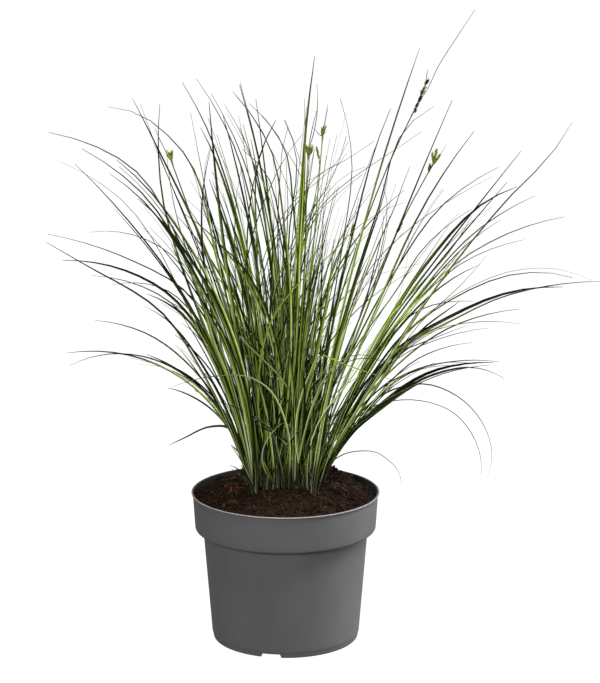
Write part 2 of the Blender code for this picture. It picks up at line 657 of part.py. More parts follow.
def main():
    """Builds the pot, the peat, the shoots and the flower stems."""
    clear_scene()
    collection = new_collection("potted_sedge")
    guides = new_collection("cutters_and_guides")
    section = make_section(guides)

    pot = make_pot(collection, guides)
    pot.data.materials.append(make_material("pot_plastic", POT_GREY, 0.42))
    soil = make_soil(collection)
    soil.data.materials.append(make_material("peat", PEAT_BROWN, 0.95))

    places = [(ring, slot) for ring, (share, count) in enumerate(RINGS) for slot in range(count)]
    roots = {place: root_above(*place) for place in places}
    headings = {place: shoot_heading(place, root) for place, root in roots.items()}
    crowd = Crowd()
    for place, root in roots.items():
        crowd.add(place, np.array([root, root + SHEATH_HEIGHT * headings[place]]))
    stalks = {}
    for place, (depth, stalk, spikes, bracts) in FLOWER_STEMS.items():
        tree = crowd.tree_without(place)
        stalks[place] = clearest(tree, shown_options(roots[place] + CULM_LIFT, stalk, depth * MM))
        crowd.add(place, stalks[place])
    shoots = plan_shoots(roots, headings, crowd)

    for number, (place, courses) in enumerate(shoots.items(), start=1):
        name = f"shoot_{number:02d}"
        shoot = make_shoot(name, roots[place], headings[place], courses, section, collection)
        shoot.data.materials.clear()
        shoot.data.materials.append(make_material(f"{name}_green", LEAF_GREEN, 0.5))
    for number, (place, (depth, stalk, spikes, bracts)) in enumerate(FLOWER_STEMS.items(), start=1):
        name = f"flower_stem_{number}"
        stem = make_flower_stem(name, stalks[place], spikes, bracts, section, collection)
        stem.data.materials.clear()
        stem.data.materials.append(make_material(f"{name}_green", STALK_GREEN, 0.55))


main()
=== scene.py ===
"""Looks of the potted sedge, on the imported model's frame: metres, +Z up, its front towards -Y."""
import math
import random

import bpy
import numpy as np
from mathutils import Matrix, Vector
from mathutils.kdtree import KDTree


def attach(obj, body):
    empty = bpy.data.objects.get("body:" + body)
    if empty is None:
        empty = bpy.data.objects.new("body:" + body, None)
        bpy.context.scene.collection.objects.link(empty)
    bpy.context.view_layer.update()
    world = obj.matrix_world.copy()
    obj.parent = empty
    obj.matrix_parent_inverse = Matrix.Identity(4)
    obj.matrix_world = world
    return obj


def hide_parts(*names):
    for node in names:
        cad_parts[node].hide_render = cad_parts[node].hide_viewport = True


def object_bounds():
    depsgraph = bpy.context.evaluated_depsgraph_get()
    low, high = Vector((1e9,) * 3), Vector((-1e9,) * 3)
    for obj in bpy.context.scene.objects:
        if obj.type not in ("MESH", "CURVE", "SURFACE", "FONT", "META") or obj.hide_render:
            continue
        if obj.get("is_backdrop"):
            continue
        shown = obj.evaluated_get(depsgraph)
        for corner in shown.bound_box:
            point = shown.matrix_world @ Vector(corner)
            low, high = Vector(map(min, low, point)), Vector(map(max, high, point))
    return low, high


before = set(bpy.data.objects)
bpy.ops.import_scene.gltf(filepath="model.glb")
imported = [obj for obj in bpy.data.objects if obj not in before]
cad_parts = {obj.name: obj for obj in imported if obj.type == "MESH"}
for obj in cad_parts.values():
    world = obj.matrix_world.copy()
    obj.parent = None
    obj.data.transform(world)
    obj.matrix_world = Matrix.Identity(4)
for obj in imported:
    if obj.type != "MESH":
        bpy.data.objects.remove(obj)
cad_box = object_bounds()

# Lengths are in metres; the solids stand this far apart
MM = 0.001
GAP = 0.3 * MM

# Camera of the photograph, whose frame is 600 by 683 pixels
CAMERA_PLACE = (0.0, -2.300, 0.8222)
CAMERA_DOWN = math.radians(12.641)
CAMERA_RIGHT = math.radians(0.365)
CAMERA_LENS = 124.66
CAMERA_SENSOR = 36.0

# Pot: a 19 cm nursery pot
POT_STEPS = 180
WALL = 1.4 * MM
EDGE = 0.4 * MM
SLOPE = 0.5 * MM
RIM_RADIUS = 95.1 * MM
RIM_TOP = 151.8 * MM
RIM_THICK = 1.0 * MM
COLLAR_TOP_RADIUS = 93.7 * MM
COLLAR_FOOT_RADIUS = 91.4 * MM
COLLAR_FOOT = 114.0 * MM
BODY_TOP_RADIUS = 83.4 * MM
BODY_TOP = 112.8 * MM
BODY_FOOT_RADIUS = 74.9 * MM
BODY_FOOT = 6.0 * MM
FOOT_RADIUS = 73.2 * MM
FOOT_STEP = 4.8 * MM
FOOT_WIDTH = 1.6 * MM
BASE_UNDER = 3.4 * MM
FLOOR_TOP = 5.2 * MM
ROUND_STEPS = 5
PROFILE_STEP = 6.0 * MM
NOTCH_COUNT = 3
NOTCH_BEARING = math.radians(258.5)
NOTCH_WIDTH = 21.0 * MM
NOTCH_HEIGHT = 3.8 * MM
NOTCH_DEPTH = 6.0 * MM
NOTCH_NARROWS = 0.84
DRAIN_COUNT = 6
DRAIN_RADIUS = 4.5 * MM
DRAIN_RING = 54.0 * MM
DRAIN_SIDES = 32
PLUG_HALF = 10.0 * MM

# Peat: its top as (distance from the axis, height), mounded where the clump stands
SOIL_CLEAR = 0.5 * MM
SOIL_TOP = (
    (0.0, 163.0 * MM),
    (18.0 * MM, 163.0 * MM),
    (40.0 * MM, 161.6 * MM),
    (54.0 * MM, 159.0 * MM),
    (66.0 * MM, 154.5 * MM),
    (79.0 * MM, 149.5 * MM),
    (90.9 * MM, 146.0 * MM),
)

# Clump: rings of places where shoots stand, as a share of the crown's half width, and their number
CROWN_HALF_X = 38.0 * MM
CROWN_HALF_Y = 28.0 * MM
RINGS = ((1.0, 24), (0.72, 16), (0.44, 8), (0.16, 3))

# Eye that the shown leaves are seen from: the solids' own, just below the camera
EYE = Vector((0.0, -2.300, 0.822))

# Sheath: the short base that a shoot's leaves come out of. Its steepest slope is a run for each metre of
# rise, and it leans towards its shown leaves by a share of their way, across and in depth.
SHEATH_RADIUS = 1.9 * MM
SHEATH_HEIGHT = 30.0 * MM
SHEATH_LEAN = 0.55
LEAN_TO_LEAVES = (0.8, 0.3)

# Leaf: the courses repeat those of the solids. A leaf starts at (share of the sheath's height, distance
# from its middle, angle from the leaf before); angles are in radians, turns for each station in degrees.
LEAF_START = (0.25, 0.3 * MM, 2.1)
LEAF_STATIONS = 6
TURN_PER_STATION = 30.0
COURSE_SAMPLES = 40

# Room that a solid leaf keeps to those of other shoots, and the other depths and bulges that it tries
LEAF_CLEAR = 3.8 * MM
CLEAR_STEP = 1.5 * MM
LEAF_SPREAD = 14.0 * MM
DEPTH_STEP = 9.0 * MM
DEPTH_TRIES = 12
BULGES = (0.0, 7.0 * MM, -7.0 * MM, 15.0 * MM, -15.0 * MM)

# Leaves whose course shows: (ring, slot) of the shoot: (depth of its tips, its leaves).
# Each leaf is its points in mm, (across, height) as seen from the front, from its middle out to its tip.
SHOWN_SHOOTS = {
    (0, 14): (-118, (((-88, 362), (-157, 486), (-231, 516)), ((-99, 349), (-162, 437), (-206, 485)),
                    ((-92, 330), (-172, 459), (-222, 488)))),
    (1, 9): (-94, (((-66, 380), (-103, 500), (-146, 535), (-173, 541)),
                   ((-74, 385), (-126, 502), (-149, 550)),
                   ((-70, 350), (-131, 515), (-141, 544)))),
    (0, 15): (-146, (((-96, 405), (-142, 468), (-165, 489)), ((-95, 385), (-144, 459), (-199, 500)))),
    (0, 9): (118, (((-85, 330), (-122, 459), (-122, 544)), ((-50, 440), (-83, 534), (-100, 565)))),
    (1, 10): (-118, (((-60, 400), (-71, 508), (-74, 546)), ((-72, 330), (-79, 469), (-72, 502)))),
    (1, 7): (60, (((-31, 430), (-49, 499), (-86, 568)), ((-24, 430), (-45, 499), (-72, 554)),
                  ((-18, 430), (-36, 499), (-59, 543)))),
    (1, 11): (-108, (((-2, 430), (-14, 498), (-51, 556)), ((8, 440), (-2, 503), (-35, 544)))),
    (1, 5): (88, (((-28, 400), (-23, 499), (-9, 528)), ((4, 420), (9, 503), (-1, 528)))),
    (0, 13): (-62, (((-66, 300), (-99, 357), (-153, 389), (-234, 415)),
                    ((-85, 277), (-120, 332), (-203, 387), (-236, 407)),
                    ((-70, 290), (-124, 361), (-168, 382), (-220, 389)))),
    (0, 11): (62, (((-74, 330), (-119, 399), (-153, 415), (-192, 417)),
                   ((-76, 310), (-119, 359), (-172, 364)),
                   ((-66, 275), (-105, 337), (-137, 355)))),
    (0, 12): (10, (((-58, 225), (-85, 269), (-140, 315), (-189, 328)),
                  ((-58, 220), (-95, 267), (-135, 289), (-180, 293), (-215, 282)),
                  ((-62, 232), (-98, 267), (-157, 290)), ((-58, 226), (-92, 257)))),
    (0, 10): (44, (((-47, 200), (-58, 217), (-76, 218), (-101, 207), (-118, 199)),
                   ((-41, 184), (-55, 200)))),
    (0, 16): (-54, (((-41, 165), (-57, 179)),)),
    (0, 18): (-110, (((3, 205), (-2, 228), (-20, 260), (-35, 269), (-75, 270), (-113, 260)),)),
    (0, 17): (-60, (((-23, 189), (-16, 208), (0, 222), (9, 216)),)),
    (2, 6): (-60, (((14, 400), (21, 523), (29, 590)), ((15, 380), (20, 498), (19, 549)))),
    (1, 4): (92, (((56, 400), (65, 498), (54, 549)), ((30, 380), (44, 470), (60, 535)))),
    (1, 15): (-62, (((80, 430), (109, 530), (131, 598)), ((68, 420), (91, 508), (103, 539)))),
    (1, 14): (-118, (((92, 440), (123, 525), (145, 541)), ((85, 350), (123, 449), (145, 504), (163, 547)))),
    (1, 1): (62, (((95, 350), (140, 449), (162, 485), (185, 517)), ((105, 370), (161, 449), (209, 481)))),
    (0, 21): (-138, (((85, 255), (150, 360), (219, 449), (264, 498), (281, 526)),
                    ((95, 310), (150, 390), (211, 471), (231, 497)))),
    (0, 1): (72, (((85, 290), (140, 385), (202, 450), (228, 462)),
                  ((88, 290), (130, 350), (192, 420), (246, 453)))),
    (0, 2): (122, (((100, 300), (163, 380), (227, 418), (276, 432)),
                   ((70, 260), (110, 320), (178, 387), (236, 409)))),
    (0, 22): (-84, (((85, 250), (139, 330), (175, 364), (199, 393)), ((85, 275), (136, 339), (187, 347)))),
    (0, 23): (-50, (((70, 230), (114, 298), (164, 326), (213, 350), (273, 364), (318, 367)),
                    ((75, 250), (115, 310), (167, 352), (233, 379), (272, 379), (304, 368)))),
    (1, 0): (22, (((90, 265), (144, 315), (194, 326), (233, 324)), ((100, 270), (164, 320), (233, 339)))),
    (0, 0): (6, (((60, 209), (95, 236), (145, 270), (195, 278), (219, 268)),
                 ((75, 225), (115, 269), (174, 286), (214, 285)), ((85, 240), (134, 289), (187, 305)))),
    (0, 3): (108, (((60, 215), (105, 255), (140, 262), (170, 251), (199, 220), (208, 189), (202, 163)),)),
    (0, 4): (128, (((50, 205), (90, 240), (127, 246), (165, 235), (196, 189), (197, 161)),)),
    (0, 5): (56, (((46, 182), (60, 190), (77, 193), (90, 192), (103, 184), (113, 173), (117, 160)),)),
    (0, 20): (-92, (((24, 270), (35, 291), (60, 282), (90, 272), (113, 265)),)),
}

# Shoots that the front view doesn't tell apart lean out from their place by this rule. Reach and height are
# (at the clump's middle, added at its edge). Bend and rise put the leaf's middle at shares of them, each
# (without arch, added at full arch). The reach is scaled by a share that grows with the arch, the height by
# a drawn share and by what it sinks at full arch. Swing is the spread of a shoot's heading, vary those of
# its leaves' arch and heading, and widen the number of tries after which these have doubled.
SHARE_ACROSS = 0.72
RULE_LEAVES = 3
RULE_TRIES = 160
RULE_SWING = 0.22
RULE_VARY = (0.10, 0.06)
RULE_WIDEN = 25
RULE_REACH = (34.0 * MM, 150.0 * MM)
RULE_HEIGHT = (412.0 * MM, -96.0 * MM)
RULE_SHARES = (0.5, 1.35)
RULE_BEND = (0.33, 0.06)
RULE_RISE = (0.55, 0.20)
RULE_LEAST = 0.78
RULE_SINK = 0.30

# Stalk of a flower stem: its radius, at its foot and top as shares, and its turn along it in radians. The
# thin stalk of a spike has a share of the radius and ends a share of the spike's length below its middle.
CULM_RADIUS = 0.8 * MM
CULM_SHARES = (1.3, 0.8)
CULM_LIFT = Vector((0.0, 0.0, 0.5 * MM))
CULM_SUNK = 5.0 * MM
CULM_TURN = 0.8
CULM_SECTION = np.array([(0.0, 1.0), (0.87, -0.5), (-0.87, -0.5)])
STALKLET_SHARE = 0.6
STALKLET_END = 0.3
STALKLET_STATIONS = 4
BRACT_WIDTH = 1.1 * MM

# Flower stems: (ring, slot): (depth of the top, tone of the stalk, stalk points, spikes, bracts), in mm as
# seen from the front. A spike is (across, height, length, width, tilt to the right in degrees, ripeness
# from green to dark brown); a bract is its points.
FLOWER_STEMS = {
    (1, 8): (-30, 0.1, ((-62, 340), (-100, 455), (-113, 492)),
             ((-114.5, 494, 12, 4.2, -30, 0.30), (-111, 494, 12, 4, 2, 0.25),
              (-113, 493, 10, 4, -15, 0.50)),
             (((-112, 489), (-116.7, 497), (-120.3, 504), (-127, 520)),)),
    (3, 0): (-20, 0.7, ((14, 350), (23, 498)),
             ((21.4, 499.5, 11, 4.6, -8, 0.25), (26.2, 499.5, 11, 4.6, 9, 0.30),
              (23.8, 498, 10, 4.4, 2, 0.45)),
             (((24, 502), (28.7, 528), (31, 537)), ((26, 503), (30.8, 528), (32, 547), (31, 563)))),
    (2, 7): (10, 0.5, ((24, 350), (34, 478), (37, 515)),
             ((38.2, 518, 14, 5, 16, 0.30), (36.6, 517, 12, 4.4, 4, 0.25), (32, 496, 15, 2.6, -13, 0.30)),
             (((35, 512), (32, 515.5), (30, 518.5)), ((38, 518), (42, 544)))),
    (2, 0): (-16, 0.1, ((70, 400), (112, 508), (125, 535), (138, 566)),
             ((66, 419, 15, 3.4, 14, 0.0), (138.2, 565.4, 8.5, 5, 25, 1.0),
              (134.2, 555.7, 9, 6, 25, 0.95), (136.8, 560, 5, 3.5, 25, 0.35),
              (132.1, 548.9, 9, 3.6, 20, 0.95), (129.2, 542.5, 7, 3.4, 30, 0.90),
              (127.3, 537.6, 7, 3.6, 15, 0.80)),
             (((129, 541), (135.4, 552), (150, 581.5), (166, 607), (184, 635)),
              ((135.8, 566), (138.6, 577)))),
    (1, 2): (30, 0.1, ((86, 360), (126, 449), (140, 475), (148, 490)),
             ((145, 490.5, 15, 3.6, -8, 0.35), (147.3, 492.5, 19, 3.8, 10, 0.25),
              (149, 489.5, 15, 3.6, 32, 0.30),
              (141.8, 481, 12, 3, 8, 0.75), (112.5, 421, 15, 3.6, 28, 0.0)),
             (((147, 488), (152, 494), (158, 504)),)),
    (2, 5): (-36, 0.4, ((-36, 225), (-46, 262), (-53, 280)),
             ((-46, 262, 10, 4, -20, 0.6), (-53, 281, 10, 4, -15, 0.5)), ()),
}

# Leaves that stand out in the photograph: (ring, slot): (width in mm, tone from dark to bright) of each
SHOWN_BLADES = {
    (0, 10): ((6.0, 0.0), (3.0, 0.1)),
    (0, 16): ((1.8, 0.2),),
    (0, 18): ((2.4, 1.0),),
    (0, 17): ((1.6, 1.4),),
    (0, 20): ((3.0, 1.3),),
    (0, 19): ((2.2, 0.8), (2.4, 0.6), (2.0, 0.9)),
    (0, 3): ((3.2, 0.1),),
    (0, 4): ((3.0, 0.1),),
    (0, 5): ((1.6, 0.4),),
    (0, 0): ((3.0, 0.7), (2.6, 0.5), (2.4, 0.3)),
    (0, 22): ((3.0, 0.4), (2.6, 0.15)),
    (1, 0): ((2.8, 0.45), (2.4, 0.2)),
    (0, 2): ((2.8, 0.4), (2.6, 0.1)),
    (0, 21): ((4.4, 0.4), (2.8, 0.15)),
    (1, 1): ((2.8, 0.35), (2.4, 0.1)),
    (1, 14): ((2.8, 0.45), (2.4, 0.1)),
    (1, 15): ((5.2, 0.45), (2.6, 0.3)),
    (2, 6): ((4.6, 0.7), (2.8, 0.3)),
    (1, 4): ((1.6, 0.2), (1.4, 0.1)),
    (0, 14): ((3.6, 0.5), (3.0, 0.4), (2.6, 0.3)),
    (1, 9): ((3.2, 0.6), (4.6, 0.45), (2.6, 0.3)),
    (0, 15): ((3.4, 0.45), (2.8, 0.35)),
    (0, 9): ((3.4, 0.5), (2.8, 0.4)),
    (1, 10): ((4.0, 0.5), (3.0, 0.3)),
    (1, 7): ((3.0, 0.55), (2.6, 0.4), (2.4, 0.5)),
    (1, 5): ((2.6, 0.5), (2.4, 0.4)),
    (1, 11): ((2.8, 0.5), (2.4, 0.4)),
    (0, 1): ((4.4, 0.35), (3.6, 0.2)),
    (0, 23): ((4.8, 0.4), (2.4, 0.2)),
    (0, 12): ((3.0, 0.1), (2.4, 0.1)),
}

# Leaves that cross the others in the photograph: (ring, slot) of the shoot that each grows from:
# (width in mm, tone, depth of its tip, its points in mm as seen from the front)
CROSSING_LEAVES = {
    (1, 13): ((2.6, 0.1, -50, ((35, 235), (62, 300), (80, 345), (90, 390), (96, 415), (97, 433))),
              (2.0, 0.2, -20, ((38, 235), (60, 285), (75, 325), (88, 360), (97, 400), (103, 433))),
              (2.6, 0.5, -30, ((30, 235), (50, 267), (85, 322), (110, 357), (135, 398), (165, 427),
                               (184, 440)))),
    (2, 1): ((2.4, 0.15, 20, ((42, 245), (68, 310), (80, 350), (92, 385), (99, 420), (101, 440),
                              (96, 466))),
             (2.4, 0.45, 10, ((25, 260), (40, 330), (52, 385), (62, 425), (72, 455), (83, 487), (92, 510))),
             (2.2, 0.15, 40, ((25, 235), (45, 280), (62, 330), (78, 370), (125, 422), (160, 447),
                              (204, 472)))),
    (1, 12): ((1.4, 0.2, -40, ((30, 255), (45, 290), (54, 312), (62, 333), (75, 358), (87, 379))),
              (1.8, 0.1, 10, ((-5, 370), (5, 395), (20, 425), (35, 452), (45, 472), (60, 495))),
              (1.6, 0.1, 20, ((5, 385), (25, 428), (45, 460), (62, 475), (80, 482))),
              (1.4, 0.1, -40, ((40, 320), (70, 352), (90, 372), (100, 377), (113, 380), (133, 385)))),
    (1, 14): ((1.4, 0.1, -40, ((70, 280), (100, 325), (113, 351), (119, 379), (122, 400), (122, 416))),
              (3.0, 0.7, -70, ((35, 225), (62, 262), (80, 290), (95, 318), (128, 357), (165, 400),
                               (184, 433))),
              (3.4, 0.8, -90, ((50, 230), (82, 283), (100, 308), (120, 335), (160, 380), (183, 412)))),
    (0, 21): ((2.2, 0.3, -80, ((55, 235), (85, 270), (103, 290), (115, 310), (147, 357), (184, 398))),
              (2.0, 0.3, -50, ((50, 218), (75, 238), (95, 257), (115, 270), (150, 283), (190, 283)))),
    (0, 22): ((2.6, 0.2, -60, ((55, 235), (80, 262), (98, 282), (130, 308), (165, 332), (205, 350))),
              (2.8, 0.05, -80, ((45, 205), (68, 220), (85, 235), (120, 256), (165, 275), (205, 282)))),
    (2, 3): ((2.8, 0.8, -10, ((5, 330), (0, 380), (-8, 425), (-18, 457), (-28, 480), (-40, 503),
                              (-57, 535))),
             (1.6, 0.1, 10, ((14, 350), (8, 445), (3, 462), (-5, 480), (-18, 507), (-30, 528), (-48, 552))),
             (1.8, 0.2, 30, ((-5, 340), (-7, 400), (-7, 430), (-5, 470), (-2, 503), (3, 521)))),
    (1, 10): ((2.0, 0.2, -20, ((-30, 300), (-37, 360), (-38, 400), (-34, 450), (-22, 500), (-9, 528))),
              (2.0, 0.1, -30, ((-36, 300), (-42, 365), (-35, 400), (-27, 430), (-16, 458), (-5, 482),
                               (18, 515))),
              (1.8, 0.3, -50, ((-50, 340), (-62, 390), (-74, 430), (-79, 455), (-79, 480), (-73, 503))),
              (1.5, 0.1, -30, ((-25, 330), (-30, 400), (-38, 436), (-48, 457), (-59, 485), (-69, 505))),
              (1.5, 0.1, -40, ((-15, 330), (-23, 389), (-31, 420), (-38, 431), (-48, 448), (-72, 477)))),
    (1, 9): ((2.2, 0.4, -40, ((-42, 300), (-50, 380), (-50, 420), (-47, 460), (-43, 480))),
             (2.6, 0.1, -60, ((-40, 310), (-50, 350), (-60, 385), (-70, 425), (-80, 455), (-100, 498))),
             (3.2, 0.6, -80, ((-42, 270), (-55, 320), (-65, 350), (-78, 390), (-90, 425), (-103, 457)))),
    (2, 6): ((1.6, 0.1, -60, ((-10, 310), (-22, 350), (-30, 370), (-52, 405), (-70, 424), (-97, 450))),
             (1.8, 0.9, -80, ((0, 262), (-25, 290), (-40, 305), (-60, 330), (-85, 367), (-110, 395))),
             (2.6, 0.0, -70, ((5, 250), (7, 300), (8, 330), (10, 360), (12, 385))),
             (2.8, 0.3, -60, ((-5, 205), (-7, 235), (-9, 270), (-12, 330), (-18, 390)))),
    (1, 11): ((2.0, 1.5, -110, ((-25, 280), (-12, 330), (5, 355), (18, 370), (45, 394), (72, 422),
                                (118, 447))),
              (3.0, 0.3, -50, ((-35, 310), (-45, 340), (-52, 365), (-62, 395), (-75, 425), (-84, 448))),
              (1.4, 0.1, 0, ((15, 380), (18, 430), (16, 473), (9, 485), (-2, 503), (-13, 520), (-28, 538))),
              (1.4, 0.1, 10, ((15, 400), (18, 450), (16, 484), (11, 500), (5, 516), (0, 528)))),
    (0, 14): ((4.2, 0.85, -90, ((-55, 260), (-72, 305), (-80, 335), (-90, 365), (-100, 395),
                                (-111, 424))),),
    (0, 15): ((3.8, 0.7, -60, ((-35.8, 162), (-41.8, 176.7), (-47.8, 188.2), (-54.8, 198.7))),
              (3.2, 0.4, -60, ((-35.9, 159), (-42.9, 169.4), (-48.9, 174.6), (-55.9, 178.8)))),
    (2, 4): ((1.7, 0.1, 20, ((-28, 330), (-20, 379), (-7, 416), (13, 447), (33, 474), (57, 487),
                             (87, 507))),
             (1.7, 0.2, 0, ((-33, 335), (-28, 362), (-7, 425), (13, 452), (31, 466), (49, 484), (62, 507))),
             (1.5, 0.3, -20, ((-20, 300), (-12, 350), (2, 395), (20, 430), (41, 460), (52, 485),
                              (60, 512)))),
    (2, 2): ((1.7, 0.2, 10, ((-5, 330), (5, 385), (21, 422), (46, 454), (80, 480), (113, 502), (133, 516))),
             (1.6, 0.1, 30, ((0, 330), (10, 390), (24, 419), (37, 441), (52, 455), (76, 474))),
             (1.6, 0.4, 40, ((20, 350), (34, 409), (44, 436), (54, 452), (67, 466))),
             (1.3, 0.1, 50, ((5, 440), (15, 462), (33, 474), (47, 482), (57, 487)))),
    (3, 1): ((3.4, 1.2, -120, ((12, 330), (14, 400), (17, 450), (19, 500), (20, 530))),
             (2.8, 1.0, -100, ((8, 330), (12, 420), (16, 470), (18, 505))),
             (2.6, 0.7, -90, ((16, 330), (20, 400), (21, 450), (24, 490)))),
    (3, 2): ((3.2, 1.0, -70, ((30, 290), (40, 340), (47, 380), (55, 400), (64, 422))),
             (3.0, 1.4, -90, ((33, 300), (42, 350), (46, 385), (48, 410))),
             (1.8, 0.1, 40, ((2, 330), (1, 400), (3, 440), (2, 465), (1, 490)))),
}

# Blade: a folded leaf in fine steps. Widths are in mm, one for each ring. Vary, fold and twist are the
# least and the most that is drawn. Turn and twist are in radians, and the twist grows with a power of the
# length. A leaf read from the photograph keeps only a share of its turn.
BLADE_WIDTHS = (3.2, 2.7, 2.3, 2.3)
BLADE_VARY = (0.50, 1.45)
LEAST_HALF = 0.25 * MM
BLADE_FOLD = (0.7, 1.6)
BLADE_TURN = 1.1
BLADE_TWIST = (0.1, 0.9)
TWIST_GROWS = 1.3
SHOWN_TURN = 0.5

# A blade's section, (across, up) as shares of its half width, of which so many points are the upper face;
# and its width along its length: (the share at the foot, how fast it widens), the powers that shape its
# taper, and the share that is left at the tip
BLADE_SECTION = np.array([
    (-1.0, 0.62), (-0.52, 0.29), (0.0, 0.0), (0.52, 0.29), (1.0, 0.62),
    (0.54, 0.17), (0.0, -0.15), (-0.54, 0.17),
])
BLADE_UPPER = 5
BLADE_FOOT = (0.75, 1.2)
BLADE_TAPER = (2.8, 0.8)
BLADE_TIP_SHARE = 0.08
BLADE_STATIONS = 13
BLADE_TURN_PER_STATION = 9.0

# A course leans as if it also reached this far along its bearing, which gives an upright one its direction
UPRIGHT_LEAN = 20.0 * MM

# Tone of a leaf, from 0, dark, to 1, bright, and past 1 for the brightest that show: the most that is
# drawn, the shape of its spread, and the share that is lost at the clump's left and right ends
TONE_MOST = 0.97
TONE_SPREAD = (0.65, 0.75)
DULL_TONE = 0.6

# Followers: leaves that grow between a shoot's own ones. So many for each ring, fewer at sparse places and
# none at the drooping one; the least and most share of the length, and how far the tip sways.
FOLLOWERS = (5, 2, 1, 1)
SPARSE = ((0, 21), (0, 1), (0, 2), (0, 22), (1, 1), (1, 0))
SPARSE_FOLLOWERS = 3
DROOPING = (0, 10)
FOLLOWER_LENGTH = (0.50, 0.98)
FOLLOWER_SWAY = 13.0 * MM
FOLLOWER_STATIONS = 18

# Loose leaves, which come out of the peat beside each shoot: (whether they cross to the clump's other side,
# how many, swing in radians, least share of their rise, shares of their length, share of their width).
# They start within the room on each side of the shoot, and reach as from these shares of its ring.
LOOSE_LEAVES = (
    (False, 1, 0.9, 1.00, (0.30, 0.80), 0.8),
    (False, 1, 1.9, 0.80, (0.50, 1.00), 0.7),
    (True, 4, 0.5, 0.35, (0.35, 0.95), 0.65),
    (False, 2, 2.2, 0.55, (0.12, 0.45), 0.8),
    (True, 4, 0.6, 0.30, (0.12, 0.40), 0.8),
    (False, 2, 3.0, 0.40, (0.10, 0.30), 0.9),
)
LOOSE_ROOM = 3.5 * MM
LOOSE_SHARES = (0.3, 1.0)
LOOSE_STATIONS = 17

# A crossing leaf heads to the right from a shoot left of here, and else to the left, this many radians off
# straight across, towards the shoot's own side in depth
CROSS_FROM = 14.0 * MM
CROSS_TURN = 0.35

# Number of the leaf whose place in the sheath the photograph's crossing leaves share
CROSSING_START = 2

# Tufts whose foot stands in front of its shoot: (ring, slot): (across, depth, number of leaves). The leaves
# start within the room on each side of the foot.
TUFTS = {
    (0, 15): (-30.0 * MM, -40.0 * MM, 8),
    (0, 21): (29.0 * MM, -40.0 * MM, 2),
    (1, 14): (27.0 * MM, -41.0 * MM, 6),
}
TUFT_ROOM = 2.5 * MM

# Sheath as it looks: its radius at the foot and the top, as shares, its ridges and how high they are; and
# how far across, along and under a leaf the leaf skin takes it to be
SHEATH_SHARES = (1.05, 0.48)
SHEATH_ROWS = 7
SHEATH_SPOKES = 9
SHEATH_SUNK = 4.0 * MM
SHEATH_RIDGES = 3
SHEATH_RIDGE = 0.10
SHEATH_ACROSS = 0.8
SHEATH_ALONG = 0.10
SHEATH_UNDER = 0.35

# Root ball as it looks: its side in steps, from a ring at a share of the foot's radius to one a little
# below the top's edge, and then its top's rings. Its tone is on the crumbs' scale, from 0 to 1.
SOIL_RINGS = 70
SOIL_SPOKES = 200
PEAT_STEP = 20.0 * MM
PEAT_FOOT_SHARE = 0.2
PEAT_FOOT_INSET = 1.0 * MM
PEAT_RIM_DROP = 2.0 * MM
PEAT_MIDDLE = 0.5 * MM
PEAT_TONE = 0.25

# Peat's top as it looks: lumps of (size, height, seed), (distances from the axis, shares of the lumps
# there), and one higher clod at the right
LUMP_GRID = 96
LUMPS = ((13.0 * MM, 2.0 * MM, 3), (6.0 * MM, 1.3 * MM, 5), (2.6 * MM, 0.7 * MM, 7))
LUMP_FADE = ((0.0, 80.0 * MM, 90.9 * MM), (1.0, 1.0, 0.45))
CLOD_PLACE = (47.0 * MM, 34.0 * MM)
CLOD_SIZE = 20.0 * MM
CLOD_HEIGHT = 9.0 * MM

# Loose crumbs: balls cut off near their poles. Size is the middle one, sizes its limits, and spread that of
# its logarithm. Points move in or out by up to the share rough, each direction is squeezed by a share, and
# the middle stands above the peat by the share rise of the size.
CRUMBS = 2600
CRUMB_SEED = 11
CRUMB_SIDES = 7
CRUMB_ROWS = 5
CRUMB_POLES = (0.12, 0.88)
CRUMB_REACH = 89.0 * MM
CRUMB_SIZE = 2.3 * MM
CRUMB_SIZES = (0.9 * MM, 6.0 * MM)
CRUMB_SPREAD = 0.45
CRUMB_ROUGH = 0.34
CRUMB_SQUEEZE = (0.55, 1.0)
CRUMB_RISE = 0.15

# Fibres that lie on the peat, each in a bow of up to this share of its length, lifted in its middle by this
# many times a drawn height, and thin at its tips, by this share of its width. Pairs are the least and the
# most.
FIBRES = 260
FIBRE_LENGTH = (4.0 * MM, 17.0 * MM)
FIBRE_STATIONS = 6
FIBRE_HALF = (0.12 * MM, 0.42 * MM)
FIBRE_BOW = 0.25
FIBRE_LIFT = (0.6 * MM, 2.2 * MM)
FIBRE_ARCH = 1.3
FIBRE_TIP = 0.05
FIBRE_TURN = 3.0
FIBRE_SECTION = np.array([(-1.0, 0.0), (0.0, 0.4), (1.0, 0.0), (0.0, -0.4)])

# Flowers as they look: scales set round each spike, which start a share of its width from its axis.
# Lengths, widths, reaches and splay, in radians, are the least and the most. The spike swells as the sine
# between these shares of a half turn, and swings forwards or back by up to this slope. A scale is as wide
# as the sine of a power of its length, with a blunt end. No spike points in the direction aside.
GOLDEN_ANGLE = math.radians(137.5)
SCALES_PER_MM = 1.9
SCALE_LENGTH = 4.6 * MM
SCALE_LENGTHS = (0.75, 1.35)
SCALE_WIDTH = 1.2 * MM
SCALE_WIDTHS = (0.8, 1.15)
SCALE_STATIONS = 5
SCALE_FOOT = 0.12
SCALE_REACHES = (0.5, 1.7)
SCALE_SPLAY = (0.15, 0.85)
SCALE_BELLY = 0.5
SCALE_BLUNT = 0.1
SPIKE_SWELL = (0.25, 0.85)
SPIKE_SWING = 0.3
SPIKE_ASIDE = (0.0, 1.0, 0.1)
RIPENESS_VARY = 0.16
SCALE_SECTION = np.array([(-1.0, 0.0), (-0.5, 0.32), (0.5, 0.32), (1.0, 0.0), (0.0, 0.10)])

